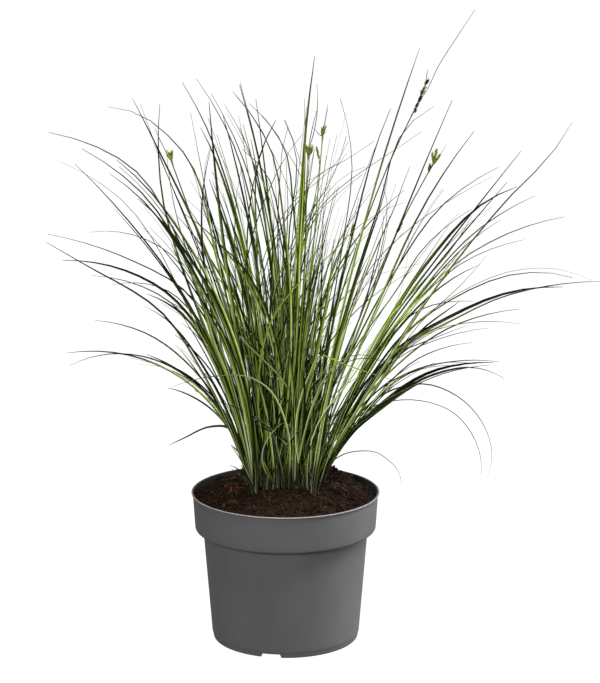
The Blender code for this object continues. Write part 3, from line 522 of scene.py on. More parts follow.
# Heights by which the leaf skin is coloured: the tops of the olive foot and of the shade inside the clump,
# and how far above the peat the foot's colour is full
FOOT_TOP = 206.0 * MM
SHADE_TOP = 340.0 * MM
FOOT_FULL = 4.0 * MM

# Colours, as linear shares of red, green and blue; a pair goes from its first to its second
LEAF_DARK = ((0.009, 0.021, 0.001), (0.006, 0.008, 0.003))
LEAF_BRIGHT = (0.290, 0.430, 0.018)
LEAF_VEIN = (0.28, 0.38, 0.06)
LEAF_FOOT = (0.014, 0.013, 0.006)
LEAF_RIB = (0.66, 0.70, 0.42)
# The near-white of the painted highlight along one margin of a leaf
LEAF_MARGIN_HIGHLIGHT = (0.95, 0.95, 0.74)
LEAF_UNDER = ((0.060, 0.062, 0.045), (0.20, 0.20, 0.17))
LEAF_DRY = (0.060, 0.048, 0.030)
STALK_GREEN = ((0.022, 0.032, 0.008), (0.240, 0.330, 0.030))
STALK_VEIN = (0.12, 0.16, 0.05)
HUSK_YOUNG = ((0.095, 0.140, 0.016), (0.310, 0.310, 0.050))
HUSK_RUSTY = (0.120, 0.055, 0.014)
HUSK_RIPE = (0.012, 0.007, 0.004)
HUSK_BEAK = (0.180, 0.070, 0.030)
POT_GREY = ((0.094, 0.094, 0.096), (0.107, 0.107, 0.110))
POT_DRAG = (0.118, 0.118, 0.122)
POT_DUST = (0.18, 0.175, 0.17)
# The pale grey of the painted highlight on the rim's outer rounding
POT_LIP_HIGHLIGHT = (0.200, 0.190, 0.190)
POT_INSIDE = (0.004, 0.004, 0.005)
PEAT_BROWN = ((0.0006, 0.0003, 0.0001), (0.0112, 0.0055, 0.0031))
PEAT_CRUMB = (0.025, 0.0135, 0.0075)
PEAT_RUST = (0.085, 0.032, 0.013)
PEAT_STRAW = ((0.030, 0.016, 0.008), (0.150, 0.095, 0.050))
WHITE = (1.0, 1.0, 1.0, 1.0)

# Edges sharper than this stay sharp
SHARP_FROM = math.radians(40)

# Light: soft boxes of (name, place, target, width, height, power), and the dome that fills the shade
SOFT_BOXES = (
    ("key", (1.15, -0.35, 2.20), (0.0, 0.0, 0.30), 0.7, 0.7, 76.0),
    ("overhead", (-0.20, -0.20, 2.50), (0.0, 0.0, 0.30), 0.8, 0.8, 80.0),
    ("right", (1.9, 0.6, 0.75), (0.0, 0.0, 0.20), 0.8, 1.7, 56.0),
    ("front", (-0.65, -2.4, 1.30), (0.0, 0.0, 0.25), 0.8, 0.8, 46.0),
)
DOME_BELOW = 0.28
DOME_ABOVE = 0.39

# Floor: a wide disc just under the foot, dark to the light that falls on it but with a white glow
FLOOR_RADIUS = 40.0
FLOOR_SIDES = 96
FLOOR_DROP = 0.1 * MM
FLOOR_GREY = (0.04, 0.04, 0.04, 1.0)
FLOOR_GLOW = 1.0


def smooth_course(points, count):
    """Gives points along the smooth curve through the given ones: cubic pieces between them, whose
    slopes are those of the parabolas through neighbours, over the length of the straight runs."""
    knots = np.array(points, dtype=float)
    along = np.concatenate([[0.0], np.cumsum(np.linalg.norm(np.diff(knots, axis=0), axis=1))])
    slope = np.gradient(knots, along, axis=0, edge_order=2)
    wanted = np.linspace(0.0, along[-1], count)
    piece = np.clip(np.searchsorted(along, wanted, side="right") - 1, 0, len(along) - 2)
    run = (along[piece + 1] - along[piece])[:, None]
    t = (wanted - along[piece])[:, None] / run
    start = (1 + 2 * t) * (1 - t) ** 2 * knots[piece] + t * (1 - t) ** 2 * run * slope[piece]
    end = t ** 2 * (3 - 2 * t) * knots[piece + 1] + t ** 2 * (t - 1) * run * slope[piece + 1]
    return start + end


def turning(points):
    """Gives how far the smooth curve through the points turns in all, in degrees."""
    steps = np.diff(smooth_course(points, COURSE_SAMPLES), axis=0)
    steps /= np.linalg.norm(steps, axis=1)[:, None]
    return np.degrees(np.arccos(np.clip((steps[1:] * steps[:-1]).sum(axis=1), -1.0, 1.0)).sum())


def stations(points):
    """Gives the places that the solid leaf is built through: more of them the more its course turns."""
    return smooth_course(points, LEAF_STATIONS + int(turning(points) / TURN_PER_STATION))


def filled_in(built):
    """Gives close places along the straight runs between a leaf's stations."""
    along = np.concatenate([[0.0], np.cumsum(np.linalg.norm(np.diff(built, axis=0), axis=1))])
    wanted = np.linspace(0.0, along[-1], max(3, int(along[-1] / CLEAR_STEP)))
    return np.column_stack([np.interp(wanted, along, built[:, axis]) for axis in range(3)])


def from_front(across, height, depth):
    """Gives the place at this depth that the eye sees at (across, height) in the plane of the axis."""
    share = (depth - EYE.y) / -EYE.y
    return (across * share, depth, EYE.z + (height - EYE.z) * share)


def seen_points(start, seen, depth, bulge=0.0):
    """Gives a shown leaf's points in space, going evenly from its start's depth to the tip's."""
    flat = [(start[0], start[2])] + [(across * MM, height * MM) for across, height in seen]
    runs = [math.dist(flat[i], flat[i + 1]) for i in range(len(flat) - 1)]
    whole = sum(runs)
    points = [tuple(start)]
    share = 0.0
    for (across, height), run in zip(flat[1:], runs):
        share += run / whole
        deep = start[1] + (depth - start[1]) * share + 4 * bulge * share * (1 - share)
        points.append(from_front(across, height, deep))
    return points


def rule_points(start, arch, heading, ring_share, dice):
    """Gives a leaf's points by the rule: it rises steeply and bends out along its heading, and the
    further it reaches, the more it arches over."""
    least, most = RULE_SHARES
    reach = (RULE_REACH[0] + RULE_REACH[1] * ring_share) * (least + (most - least) * arch)
    height = (RULE_HEIGHT[0] + RULE_HEIGHT[1] * ring_share ** 2) * dice.uniform(RULE_LEAST, 1.0)
    height *= 1.0 - RULE_SINK * arch * ring_share
    out = Vector((SHARE_ACROSS * math.cos(heading), math.sin(heading), 0.0)) * reach
    rise = Vector((0.0, 0.0, height))
    bend = RULE_BEND[0] + RULE_BEND[1] * arch
    steep = RULE_RISE[0] + RULE_RISE[1] * arch
    return [tuple(start), tuple(start + bend * out + steep * rise), tuple(start + out + rise)]


def crown_place(ring, slot):
    """Gives a place of the crown: its ring's share of the half width and its bearing."""
    share, count = RINGS[ring]
    return share, 2 * math.pi * slot / count


def root_above(ring, slot):
    """Gives the point just above the peat where the shoot at this place stands."""
    share, bearing = crown_place(ring, slot)
    across = CROWN_HALF_X * share * math.cos(bearing)
    deep = CROWN_HALF_Y * share * math.sin(bearing)
    reaches, heights = zip(*SOIL_TOP)
    peat = np.interp(math.hypot(across, deep) - SHEATH_RADIUS, reaches, heights)
    return Vector((across, deep, peat + GAP))


class Crowd:
    """The courses taken so far, each tagged with its shoot, so that a new leaf can stay clear of them."""

    def __init__(self):
        self.taken = []

    def add(self, owner, course):
        """Takes a course for its owner."""
        self.taken.append((owner, filled_in(course)))

    def tree_without(self, owner):
        """Gives a search tree of every course but the owner's."""
        others = [course for who, course in self.taken if who != owner]
        tree = KDTree(sum(len(course) for course in others))
        number = 0
        for course in others:
            for place in course:
                tree.insert(place, number)
                number += 1
        tree.balance()
        return tree


def clearest(tree, options):
    """Gives the first points whose course is clear of the tree's courses, or else the furthest ones."""
    best = None
    best_room = -1.0
    for points in options:
        room = min(tree.find(place)[2] for place in filled_in(stations(points)))
        if room > best_room:
            best = points
            best_room = room
        if room >= LEAF_CLEAR:
            break
    return best


def shown_options(start, seen, depth):
    """Gives a shown leaf's points with other depths, the nearest to the wanted depth first."""
    shifts = sorted((DEPTH_STEP * step for step in range(-DEPTH_TRIES, DEPTH_TRIES + 1)), key=abs)
    for shift in shifts:
        for bulge in BULGES:
            yield seen_points(start, seen, depth + shift, bulge)


def rule_options(start, arch, heading, ring_share, dice):
    """Gives leaves' points by the rule, near the shoot's own arch and heading at first and then wider."""
    for attempt in range(RULE_TRIES):
        wider = 1.0 + attempt / RULE_WIDEN
        leaf_arch = min(1.0, max(0.0, arch + dice.gauss(0.0, RULE_VARY[0] * wider)))
        leaf_heading = heading + dice.gauss(0.0, RULE_VARY[1] * wider)
        yield rule_points(start, leaf_arch, leaf_heading, ring_share, dice)


def shoot_heading(place, root):
    """Gives the slope of a place's sheath: how far it leans for each metre that it rises."""
    share, bearing = crown_place(*place)
    if place in SHOWN_SHOOTS:
        depth, leaves = SHOWN_SHOOTS[place]
        across = sum(seen[0][0] for seen in leaves) / len(leaves) * MM
        height = sum(seen[0][1] for seen in leaves) / len(leaves) * MM
        share_across, share_deep = LEAN_TO_LEAVES
        lean = Vector((share_across * (across - root.x), share_deep * (depth * MM - root.y), 0.0))
        lean /= height - root.z
        lean *= min(1.0, SHEATH_LEAN / lean.length)
        return Vector((lean.x, lean.y, 1.0))
    slope = SHEATH_LEAN * share
    return Vector((SHARE_ACROSS * slope * math.cos(bearing), slope * math.sin(bearing), 1.0))


def leaf_start(root, heading, number):
    """Gives the place inside the sheath where a shoot's leaf starts."""
    rise, off, turn = LEAF_START
    side = Matrix.Rotation(turn * number, 3, heading) @ heading.orthogonal().normalized()
    return root + rise * SHEATH_HEIGHT * heading + off * side


def plan_shoots(roots, headings, crowd):
    """Gives each leafy shoot's leaves, the shown ones first and then those that follow the rule."""
    plan = {}
    for place, (depth, leaves) in SHOWN_SHOOTS.items():
        tree = crowd.tree_without(place)
        plan[place] = []
        for number, seen in enumerate(leaves):
            start = leaf_start(roots[place], headings[place], number)
            wanted = depth * MM + LEAF_SPREAD * (number - (len(leaves) - 1) / 2)
            plan[place].append(clearest(tree, shown_options(start, seen, wanted)))
        for points in plan[place]:
            crowd.add(place, stations(points))
    for place in roots:
        if place in SHOWN_SHOOTS or place in FLOWER_STEMS:
            continue
        dice = random.Random(100 * place[0] + place[1])
        share, bearing = crown_place(*place)
        arch = dice.random()
        heading = bearing + dice.gauss(0.0, RULE_SWING / share)
        tree = crowd.tree_without(place)
        plan[place] = []
        for number in range(RULE_LEAVES):
            start = leaf_start(roots[place], headings[place], number)
            plan[place].append(clearest(tree, rule_options(start, arch, heading, share, dice)))
        for points in plan[place]:
            crowd.add(place, stations(points))
    return plan


class Value:
    """A number or colour that varies over a surface: the shader socket that gives it, with the
    arithmetic written as plain expressions, each of which adds a Math node."""

    def __init__(self, nodes, socket):
        self.nodes = nodes
        self.socket = socket

    def math(self, operation, *numbers):
        """Gives a Math node's result for these numbers."""
        return self.nodes.node("ShaderNodeMath", {"operation": operation}, *numbers)

    def __add__(self, other):
        return self.math("ADD", self, other)

    def __radd__(self, other):
        return self.math("ADD", other, self)

    def __sub__(self, other):
        return self.math("SUBTRACT", self, other)

    def __rsub__(self, other):
        return self.math("SUBTRACT", other, self)

    def __mul__(self, other):
        return self.math("MULTIPLY", self, other)

    def __rmul__(self, other):
        return self.math("MULTIPLY", other, self)

    def __abs__(self):
        return self.math("ABSOLUTE", self)

    def stripes(self):
        """Gives soft stripes from 0 to 1, one for each full turn of the value in radians."""
        return self.math("SINE", self) * 0.5 + 0.5

    def ease(self, low, high):
        """Gives 0 below low and 1 above high with a smooth step between them, or the reverse."""
        settings = {"interpolation_type": "SMOOTHSTEP"}
        if low < high:
            return self.nodes.node("ShaderNodeMapRange", settings, self, low, high, 0.0, 1.0)
        return self.nodes.node("ShaderNodeMapRange", settings, self, high, low, 1.0, 0.0)


class Nodes:
    """One tree of nodes, which are all added by one method."""

    def __init__(self, tree):
        self.tree = tree

    def node(self, kind, settings=None, *numbers, out=0, **named):
        """Adds a node: its settings first, then the values or links of its sockets, by order or name."""
        made = self.tree.nodes.new(kind)
        for key, value in (settings or {}).items():
            setattr(made, key, value)
        for key, value in list(enumerate(numbers)) + list(named.items()):
            socket = made.inputs[key]
            if isinstance(value, Value):
                self.tree.links.new(value.socket, socket)
            else:
                socket.default_value = value
        return Value(self, made.outputs[out])


class Finish(Nodes):
    """One material, whose patterns are written as expressions on values."""

    def __init__(self, name, roughness, specular=0.5):
        self.material = bpy.data.materials.new(name)
        self.material.use_nodes = True
        super().__init__(self.material.node_tree)
        self.shader = self.tree.nodes["Principled BSDF"]
        self.shader.inputs["Roughness"].default_value = roughness
        self.shader.inputs["Specular IOR Level"].default_value = specular

    def place(self, scale=(1.0, 1.0, 1.0)):
        """Gives the place on the object, stretched by a scale for each axis."""
        where = self.node("ShaderNodeTexCoord", out="Object")
        return self.node("ShaderNodeVectorMath", {"operation": "MULTIPLY"}, where, scale)

    def attribute(self, name):
        """Gives a value that the mesh carries."""
        return self.node("ShaderNodeAttribute", {"attribute_name": name}, out="Fac")

    def noise(self, where, scale, detail=3.0, rough=0.55):
        """Gives cloudy noise from about 0.2 to 0.8."""
        return self.node("ShaderNodeTexNoise", Vector=where, Scale=scale, Detail=detail, Roughness=rough)

    def mix(self, share, low, high):
        """Gives the colour that goes from low to high with the share."""
        made = self.tree.nodes.new("ShaderNodeMix")
        made.data_type = "RGBA"
        for socket, value in zip((made.inputs[0], made.inputs[6], made.inputs[7]), (share, low, high)):
            if isinstance(value, Value):
                self.tree.links.new(value.socket, socket)
            else:
                socket.default_value = value if isinstance(value, float) else (*value, 1.0)
        return Value(self, made.outputs[2])

    def paint(self, colour, roughness, height, depth, strength):
        """Joins the colour, the roughness and the fine height, which is this deep, to the shader."""
        bump = self.node("ShaderNodeBump", Height=height, Distance=depth, Strength=strength)
        for name, value in (("Base Color", colour), ("Roughness", roughness), ("Normal", bump)):
            self.tree.links.new(value.socket, self.shader.inputs[name])
        return self.material


def leaf_finish():
    """Leaf skin. Its green goes from dark to bright by how lush the leaf is there, more with its tone and
    its streaks, and by painted shade, which darkens one half, the part towards its tip, and the leaves of
    dark tone low in the clump. Over that lie one dark half of painted shade, fine veins, an olive and brown
    foot, a pale midrib, a painted highlight along one margin, a greyer underside, and a tip that has dried
    a little. At the clump's left and right the dark green is duller."""
    finish = Finish("leaf", 0.45, 0.06)
    across = finish.attribute("across")
    along = finish.attribute("along")
    tone = finish.attribute("tone")
    under = finish.attribute("under")
    streak = finish.node("ShaderNodeCombineXYZ", {}, across * 2.6, along * 5.0, tone * 37.0)
    streaks = finish.noise(streak, 3.0, 2.0)
    veins = (across * 21.0).stripes()
    # Painted shade on the half of each leaf past its midrib
    half = across.ease(-0.10, 0.10)
    # Painted shade that darkens the green towards the tip
    tip = along.ease(0.30, 0.95)
    dull = finish.attribute("dull") * along.ease(0.20, 0.60)
    dark = finish.mix(dull, *LEAF_DARK)
    height = finish.node("ShaderNodeSeparateXYZ", {}, finish.place(), out=2)
    # Painted shade deep inside the clump, on the leaves of dark tone
    shade = height.ease(SHADE_TOP, FOOT_TOP) * (1.0 - tone) * 0.30
    # How lush and how lit the leaf is: its tone and streaks, less the painted shade on one half, at the tip
    # and low in the clump
    lush_and_lit = (tone * 0.7 + streaks * 0.4 - half * 0.25 - tip * 0.75 - shade + 0.31).ease(0.05, 0.90)
    green = finish.mix(lush_and_lit, dark, LEAF_BRIGHT)
    # Painted shade: past the midrib the leaf goes dark green, but on the brightest leaves
    green = finish.mix(across.ease(0.12, 0.30) * tone.ease(1.6, 1.1), green, dark)
    green = finish.mix(veins * lush_and_lit * 0.15, green, LEAF_VEIN)
    pale = (1.0 - tip) * (0.3 + tone * 0.7)
    rib = abs(across).ease(0.24, 0.10) * pale
    foot = height.ease(FOOT_TOP, SOIL_TOP[0][1] + FOOT_FULL)
    green = finish.mix(foot * 0.92, green, LEAF_FOOT)
    # Painted highlight: a near-white line along one margin, fading at the foot and the tip
    margin_highlight = across.ease(-0.66, -0.80) * pale * (1.0 - foot * 0.55)
    green = finish.mix(rib * 0.15, green, LEAF_RIB)
    green = finish.mix(margin_highlight, green, LEAF_MARGIN_HIGHLIGHT)
    grey = finish.mix(veins * 0.3, *LEAF_UNDER)
    green = finish.mix(under * tone.ease(0.5, 1.0) * 0.15 * (1.0 - tip), green, grey)
    dry = along.ease(0.86, 1.0) * tone.ease(0.3, 0.9)
    green = finish.mix(dry * 0.6, green, LEAF_DRY)
    roughness = 0.38 + veins * 0.10 + under * 0.12
    return finish.paint(green, roughness, veins, 0.05 * MM, 0.6)


def stalk_finish():
    """Flower stems: yellow-green stalks and bracts, and scales from yellow-green to dark brown by their
    tone, with a rusty beak."""
    finish = Finish("stalk", 0.5, 0.2)
    across = finish.attribute("across")
    along = finish.attribute("along")
    tone = finish.attribute("tone")
    brown = finish.attribute("scale")
    veins = (across * 16.0).stripes()
    green = finish.mix(tone, *STALK_GREEN)
    green = finish.mix(veins * tone * 0.3, green, STALK_VEIN)
    husk = finish.mix(tone.ease(0.05, 0.40), *HUSK_YOUNG)
    husk = finish.mix(tone.ease(0.40, 0.75), husk, HUSK_RUSTY)
    husk = finish.mix(tone.ease(0.60, 0.95), husk, HUSK_RIPE)
    beak = along.ease(0.60, 1.0) * tone.ease(0.6, 0.2)
    husk = finish.mix(beak * 0.8, husk, HUSK_BEAK)
    colour = finish.mix(brown, green, husk)
    return finish.paint(colour, 0.42 + veins * 0.12, veins, 0.05 * MM, 0.6)


def pot_finish():
    """Satin grey plastic: faint clouds in the grey, fine drag lines down the wall, a little dust, a painted
    highlight on the rim's outer rounding, and a nearly black and matt inside."""
    finish = Finish("pot_plastic", 0.4, 0.35)
    inside = finish.attribute("inside")
    lip_highlight = finish.attribute("lip_highlight")
    clouds = finish.noise(finish.place(), 14.0, 4.0)
    drag = finish.noise(finish.place((1.0, 1.0, 0.05)), 130.0, 2.0)
    grain = finish.noise(finish.place(), 1400.0, 2.0)
    specks = finish.noise(finish.place(), 420.0, 1.0).ease(0.70, 0.78)
    grey = finish.mix(clouds.ease(0.30, 0.70), *POT_GREY)
    grey = finish.mix(drag.ease(0.35, 0.70) * 0.25, grey, POT_DRAG)
    grey = finish.mix(specks * clouds.ease(0.45, 0.65) * 0.35, grey, POT_DUST)
    # Painted highlight: the rim's outer rounding is paler
    grey = finish.mix(lip_highlight, grey, POT_LIP_HIGHLIGHT)
    grey = finish.mix(inside, grey, POT_INSIDE)
    roughness = 0.36 + clouds * 0.10 + drag * 0.06 + inside * 0.55
    return finish.paint(grey, roughness, grain + drag * 1.2, 0.03 * MM, 0.5)


def peat_finish():
    """Moist peat: near-black brown, rusty patches, and crumbs and fibres each in a tone of their own."""
    finish = Finish("peat", 0.85, 0.05)
    tone = finish.attribute("tone")
    kind = finish.attribute("fibre")
    clouds = finish.noise(finish.place(), 26.0, 3.0)
    fine = finish.noise(finish.place(), 420.0, 4.0, 0.65)
    brown = finish.mix(fine.ease(0.30, 0.70), *PEAT_BROWN)
    brown = finish.mix(tone * 0.6, brown, PEAT_CRUMB)
    rust = clouds.ease(0.54, 0.66) * tone.ease(0.25, 0.9)
    brown = finish.mix(rust * 0.75, brown, PEAT_RUST)
    straw = finish.mix(tone, *PEAT_STRAW)
    brown = finish.mix(kind, brown, straw)
    return finish.paint(brown, 0.70 + fine * 0.3, fine, 0.5 * MM, 0.8)


def in_scene(name, data):
    """Gives a new object that holds this data, put in the scene."""
    thing = bpy.data.objects.new(name, data)
    bpy.context.scene.collection.objects.link(thing)
    return thing


class Surface:
    """Collects closed skins as arrays, to be joined in one mesh that carries values for each point."""

    def __init__(self):
        self.points = []
        self.faces = []
        self.values = {}
        self.count = 0

    def add(self, points, faces, **values):
        """Takes one skin: its grid of points, its faces as numbers into them, and its values by name, each
        of them one number or spread over the grid."""
        grid = points.shape[:-1]
        self.points.append(points.reshape(-1, 3))
        self.faces += [[number + self.count for number in face] for face in faces]
        for name, value in values.items():
            spread = np.broadcast_to(value, grid).reshape(-1).astype(np.float32)
            self.values.setdefault(name, []).append(spread)
        self.count += len(self.points[-1])

    def mesh(self, name):
        """Gives the joined mesh."""
        mesh = bpy.data.meshes.new(name)
        mesh.from_pydata(np.concatenate(self.points).tolist(), [], self.faces)
        for key, parts in self.values.items():
            carried = mesh.attributes.new(key, "FLOAT", "POINT")
            carried.data.foreach_set("value", np.concatenate(parts))
        return mesh

    def made(self, name, finish, slot, *nodes):
        """Makes the joined mesh a piece that rides on the part and stands for the solids named."""
        mesh = self.mesh(name)
        mesh.shade_smooth()
        mesh.set_sharp_from_angle(angle=SHARP_FROM)
        mesh.materials.append(finish)
        piece = in_scene(name, mesh)
        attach(piece, "root")
        if nodes:
            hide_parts(*nodes)
        return piece


def tube_faces(rows, sides):
    """Gives the faces of a skin whose points run in rows of closed loops, with a cap on each end."""
    row, side = np.meshgrid(np.arange(rows - 1), np.arange(sides), indexing="ij")
    here = row * sides + side
    beside = row * sides + (side + 1) % sides
    quads = np.stack([here, beside, beside + sides, here + sides], axis=-1).reshape(-1, 4)
    last = (rows - 1) * sides
    return quads.tolist() + [list(range(sides))[::-1], list(range(last, last + sides))]


def unit(vectors):
    """Gives the vectors with length one."""
    return vectors / np.maximum(np.linalg.norm(vectors, axis=-1, keepdims=True), 1e-9)


def course_frame(course, outward, turn):
    """Gives the two directions square to a course at each point of it. The first is level and square to
    the way the course leans, the second is square to both; then both turn about the course."""
    ahead = unit(np.gradient(course, axis=0))
    level = np.cross(outward, (0.0, 0.0, 1.0))
    across = unit(level - (ahead @ level)[:, None] * ahead)
    up = np.cross(across, ahead)
    turn = np.broadcast_to(turn, len(course))[:, None]
    return np.cos(turn) * across + np.sin(turn) * up, np.cos(turn) * up - np.sin(turn) * across


def lean_of(course, bearing):
    """Gives the level direction in which a course leans, or its bearing where it stands upright."""
    lean = np.array([*(course[-1] - course[0])[:2], 0.0])
    lean += UPRIGHT_LEAN * np.array([math.cos(bearing), math.sin(bearing), 0.0])
    return unit(lean)


def sweep(skin, course, level, up, halves, section, **values):
    """Adds a section of (across, up) points carried along a course, at half widths given for each point."""
    flat = section[:, 0, None] * level[:, None, :] + section[:, 1, None] * up[:, None, :]
    points = course[:, None, :] + np.asarray(halves)[:, None, None] * flat
    skin.add(points, tube_faces(len(course), len(section)), **values)


def blade_shares(t):
    """Gives a leaf's width at the share t of its length: narrow in the sheath, long and thin at the tip."""
    foot, widens = BLADE_FOOT
    late, blunt = BLADE_TAPER
    shares = np.minimum(1.0, foot + widens * t) * (1 - t ** late) ** blunt
    return shares * (1 - BLADE_TIP_SHARE) + BLADE_TIP_SHARE


def add_blade(skin, course, bearing, width, dice, turned=1.0, **values):
    """Adds one leaf. Its section is a V with a keel, as wide as the leaf there, set square to the course
    at each of its points. It turns about the course by a drawn angle, of which it gets the share turned,
    and by a twist that grows along it."""
    t = np.linspace(0.0, 1.0, len(course))
    twist = dice.choice((-1.0, 1.0)) * dice.uniform(*BLADE_TWIST)
    turn = turned * dice.uniform(-BLADE_TURN, BLADE_TURN) + twist * t ** TWIST_GROWS
    across, up = course_frame(course, lean_of(course, bearing), turn)
    up *= dice.uniform(*BLADE_FOLD)
    halves = np.maximum(0.5 * width * blade_shares(t), LEAST_HALF)
    side = dice.choice((-1.0, 1.0))
    sweep(skin, course, across, up, halves, BLADE_SECTION, across=side * BLADE_SECTION[:, 0],
          along=t[:, None], **values)


def add_sheath(skin, root, heading, tone):
    """Adds the sheath: a stem with soft ridges that narrows as it rises along its slope."""
    t = np.linspace(0.0, 1.0, SHEATH_ROWS)[:, None]
    turn = np.linspace(0.0, 2 * math.pi, SHEATH_SPOKES, endpoint=False)
    rise = t * (SHEATH_HEIGHT + SHEATH_SUNK) - SHEATH_SUNK
    ridge = np.cos(SHEATH_RIDGES * turn)
    foot, top = SHEATH_SHARES
    radius = SHEATH_RADIUS * (foot + (top - foot) * t) * (1.0 + SHEATH_RIDGE * ridge)
    round_it = np.stack([radius * np.cos(turn), radius * np.sin(turn), 0.0 * radius], axis=-1)
    points = np.array(root) + rise[..., None] * np.array(heading) + round_it
    skin.add(points, tube_faces(SHEATH_ROWS, SHEATH_SPOKES), across=SHEATH_ACROSS * ridge,
             along=SHEATH_ALONG * t, tone=tone, under=SHEATH_UNDER, dull=0.0)


def fine_course(points):
    """Gives a leaf's course in fine steps, closer together the more it turns."""
    return smooth_course(points, BLADE_STATIONS + int(turning(points) / BLADE_TURN_PER_STATION))


def cut_course(course, share, count):
    """Gives the first share of a course in this many steps."""
    t = np.linspace(0.0, 1.0, len(course))
    wanted = np.linspace(0.0, share, count)
    return np.column_stack([np.interp(wanted, t, course[:, axis]) for axis in range(3)])


def follower(leaves, dice):
    """Gives the course of a leaf that grows between two of the shoot's leaves: a blend of theirs, cut
    shorter, that sways to one side by a distance growing with the square of its length."""
    first = smooth_course(dice.choice(leaves), COURSE_SAMPLES)
    second = smooth_course(dice.choice(leaves), COURSE_SAMPLES)
    blend = dice.random()
    course = blend * first + (1 - blend) * second
    course = cut_course(course, dice.uniform(*FOLLOWER_LENGTH), FOLLOWER_STATIONS)
    t = np.linspace(0.0, 1.0, len(course))[:, None]
    sway = np.array([dice.gauss(0.0, FOLLOWER_SWAY) for _ in range(3)])
    sway[2] = -abs(sway[2])
    return course + sway * t ** 2


def loose_leaf(root, place, crosses, swing, least_rise, length, dice):
    """Gives the course of a leaf that grows out of the peat beside its shoot by the shoots' rule, but heads
    off to one side of the shoot's bearing or crosses over to the clump's other half, rises less, and is cut
    to a share of its length."""
    share, bearing = crown_place(*place)
    beside = (dice.uniform(-LOOSE_ROOM, LOOSE_ROOM), dice.uniform(-LOOSE_ROOM, LOOSE_ROOM), -SHEATH_SUNK)
    start = root + Vector(beside)
    if crosses:
        share = 1.0
        bearing = math.copysign(CROSS_TURN, root.y)
        if root.x >= CROSS_FROM:
            bearing = math.pi - bearing
    way = bearing + dice.uniform(-swing, swing)
    points = np.array(rule_points(start, dice.random(), way, share * dice.uniform(*LOOSE_SHARES), dice))
    points[:, 2] = start.z + (points[:, 2] - start.z) * dice.uniform(least_rise, 1.0)
    return cut_course(smooth_course(points, COURSE_SAMPLES), dice.uniform(*length), LOOSE_STATIONS)


def tuft_foot(place, root, dice):
    """Gives a place in the peat at the foot of the tuft that belongs to the shoot here."""
    across, deep, _ = TUFTS[place]
    across += dice.uniform(-TUFT_ROOM, TUFT_ROOM)
    deep += dice.uniform(-TUFT_ROOM, TUFT_ROOM)
    return Vector((across, deep, root.z - 2 * SHEATH_SUNK))


def tuft_leaf(place, root, leaves, dice):
    """Gives the course of a leaf that grows between the shoot's leaves, with its foot moved to the tuft's:
    the move fades with the fourth power of what is left of its length."""
    course = follower(leaves, dice)
    t = np.linspace(0.0, 1.0, len(course))[:, None]
    return course + (np.array(tuft_foot(place, root, dice)) - course[0]) * (1 - t) ** 4


def grown_leaves(place, root, leaves, dice):
    """Gives the courses of a shoot's leaves, each with its share of the width: those of its solid, which
    come first, those that grow between them, the loose ones and those of its tuft."""
    grown = [(fine_course(points), 1.0) for points in leaves]
    if len(leaves) > 1 and place != DROOPING and place not in TUFTS:
        count = SPARSE_FOLLOWERS if place in SPARSE else FOLLOWERS[place[0]]
        grown += [(follower(leaves, dice), 1.0) for _ in range(count)]
    for crosses, count, swing, rise, length, share in LOOSE_LEAVES:
        for _ in range(count):
            grown.append((loose_leaf(root, place, crosses, swing, rise, length, dice), share))
    if place in TUFTS:
        grown += [(tuft_leaf(place, root, leaves, dice), 1.0) for _ in range(TUFTS[place][2])]
    return grown


def make_leaves(number, place, root, heading, leaves, finish):
    """Makes one shoot's sheath and leaves, and the leaves of it that cross the others. Widths and tones are
    drawn, but for the leaves that stand out in the photograph."""
    dice = random.Random(f"shoot {place}")
    skin = Surface()
    bearing = crown_place(*place)[1]
    add_sheath(skin, root, heading, dice.random())
    shown = SHOWN_BLADES.get(place, ())
    dull = (root.x / CROWN_HALF_X) ** 2
    under = np.arange(len(BLADE_SECTION)) >= BLADE_UPPER
    for blade, (course, share) in enumerate(grown_leaves(place, root, leaves, dice)):
        width = BLADE_WIDTHS[place[0]] * dice.uniform(*BLADE_VARY) * share
        tone = TONE_MOST * dice.betavariate(*TONE_SPREAD) * (1.0 - DULL_TONE * dull)
        turned = 1.0
        if blade < len(shown):
            width, tone = shown[blade]
            turned = SHOWN_TURN
        add_blade(skin, course, bearing, width * MM, dice, turned, tone=tone, under=under, dull=dull)
    for width, tone, depth, seen in CROSSING_LEAVES.get(place, ()):
        start = leaf_start(root, heading, CROSSING_START)
        if place in TUFTS:
            start = tuft_foot(place, root, dice)
        course = fine_course(seen_points(start, seen, depth * MM))
        add_blade(skin, course, bearing, width * MM, dice, SHOWN_TURN, tone=tone, under=under, dull=dull)
    return skin.made(f"leaves_{number:02d}", finish, "leaf_green", f"shoot_{number:02d}")


def rounded(outline, steps=ROUND_STEPS):
    """Gives an outline of (radius, height, round) corners with each corner eased: the parabola from the
    point that far before the corner to the one that far after it."""
    corners = np.array([corner[:2] for corner in outline])
    reach = [corner[2] for corner in outline]
    points = [corners[:1]]
    t = np.linspace(0.0, 1.0, steps)[:, None]
    for before, corner, after, cut in zip(corners, corners[1:], corners[2:], reach[1:-1]):
        start = corner + cut * unit(before - corner)
        end = corner + cut * unit(after - corner)
        bend = (1 - t) ** 2 * start + 2 * t * (1 - t) * corner + t ** 2 * end
        points.append(bend if cut else corner[None, :])
    points.append(corners[-1:])
    return np.concatenate(points)


def subdivided(outline, longest):
    """Gives an outline whose straight runs are cut in equal lengths no longer than the longest."""
    parts = []
    for start, end in zip(outline, outline[1:]):
        count = max(1, math.ceil(np.linalg.norm(end - start) / longest))
        parts.append(start + (end - start) * (np.arange(count) / count)[:, None])
    parts.append(outline[-1:])
    return np.concatenate(parts)


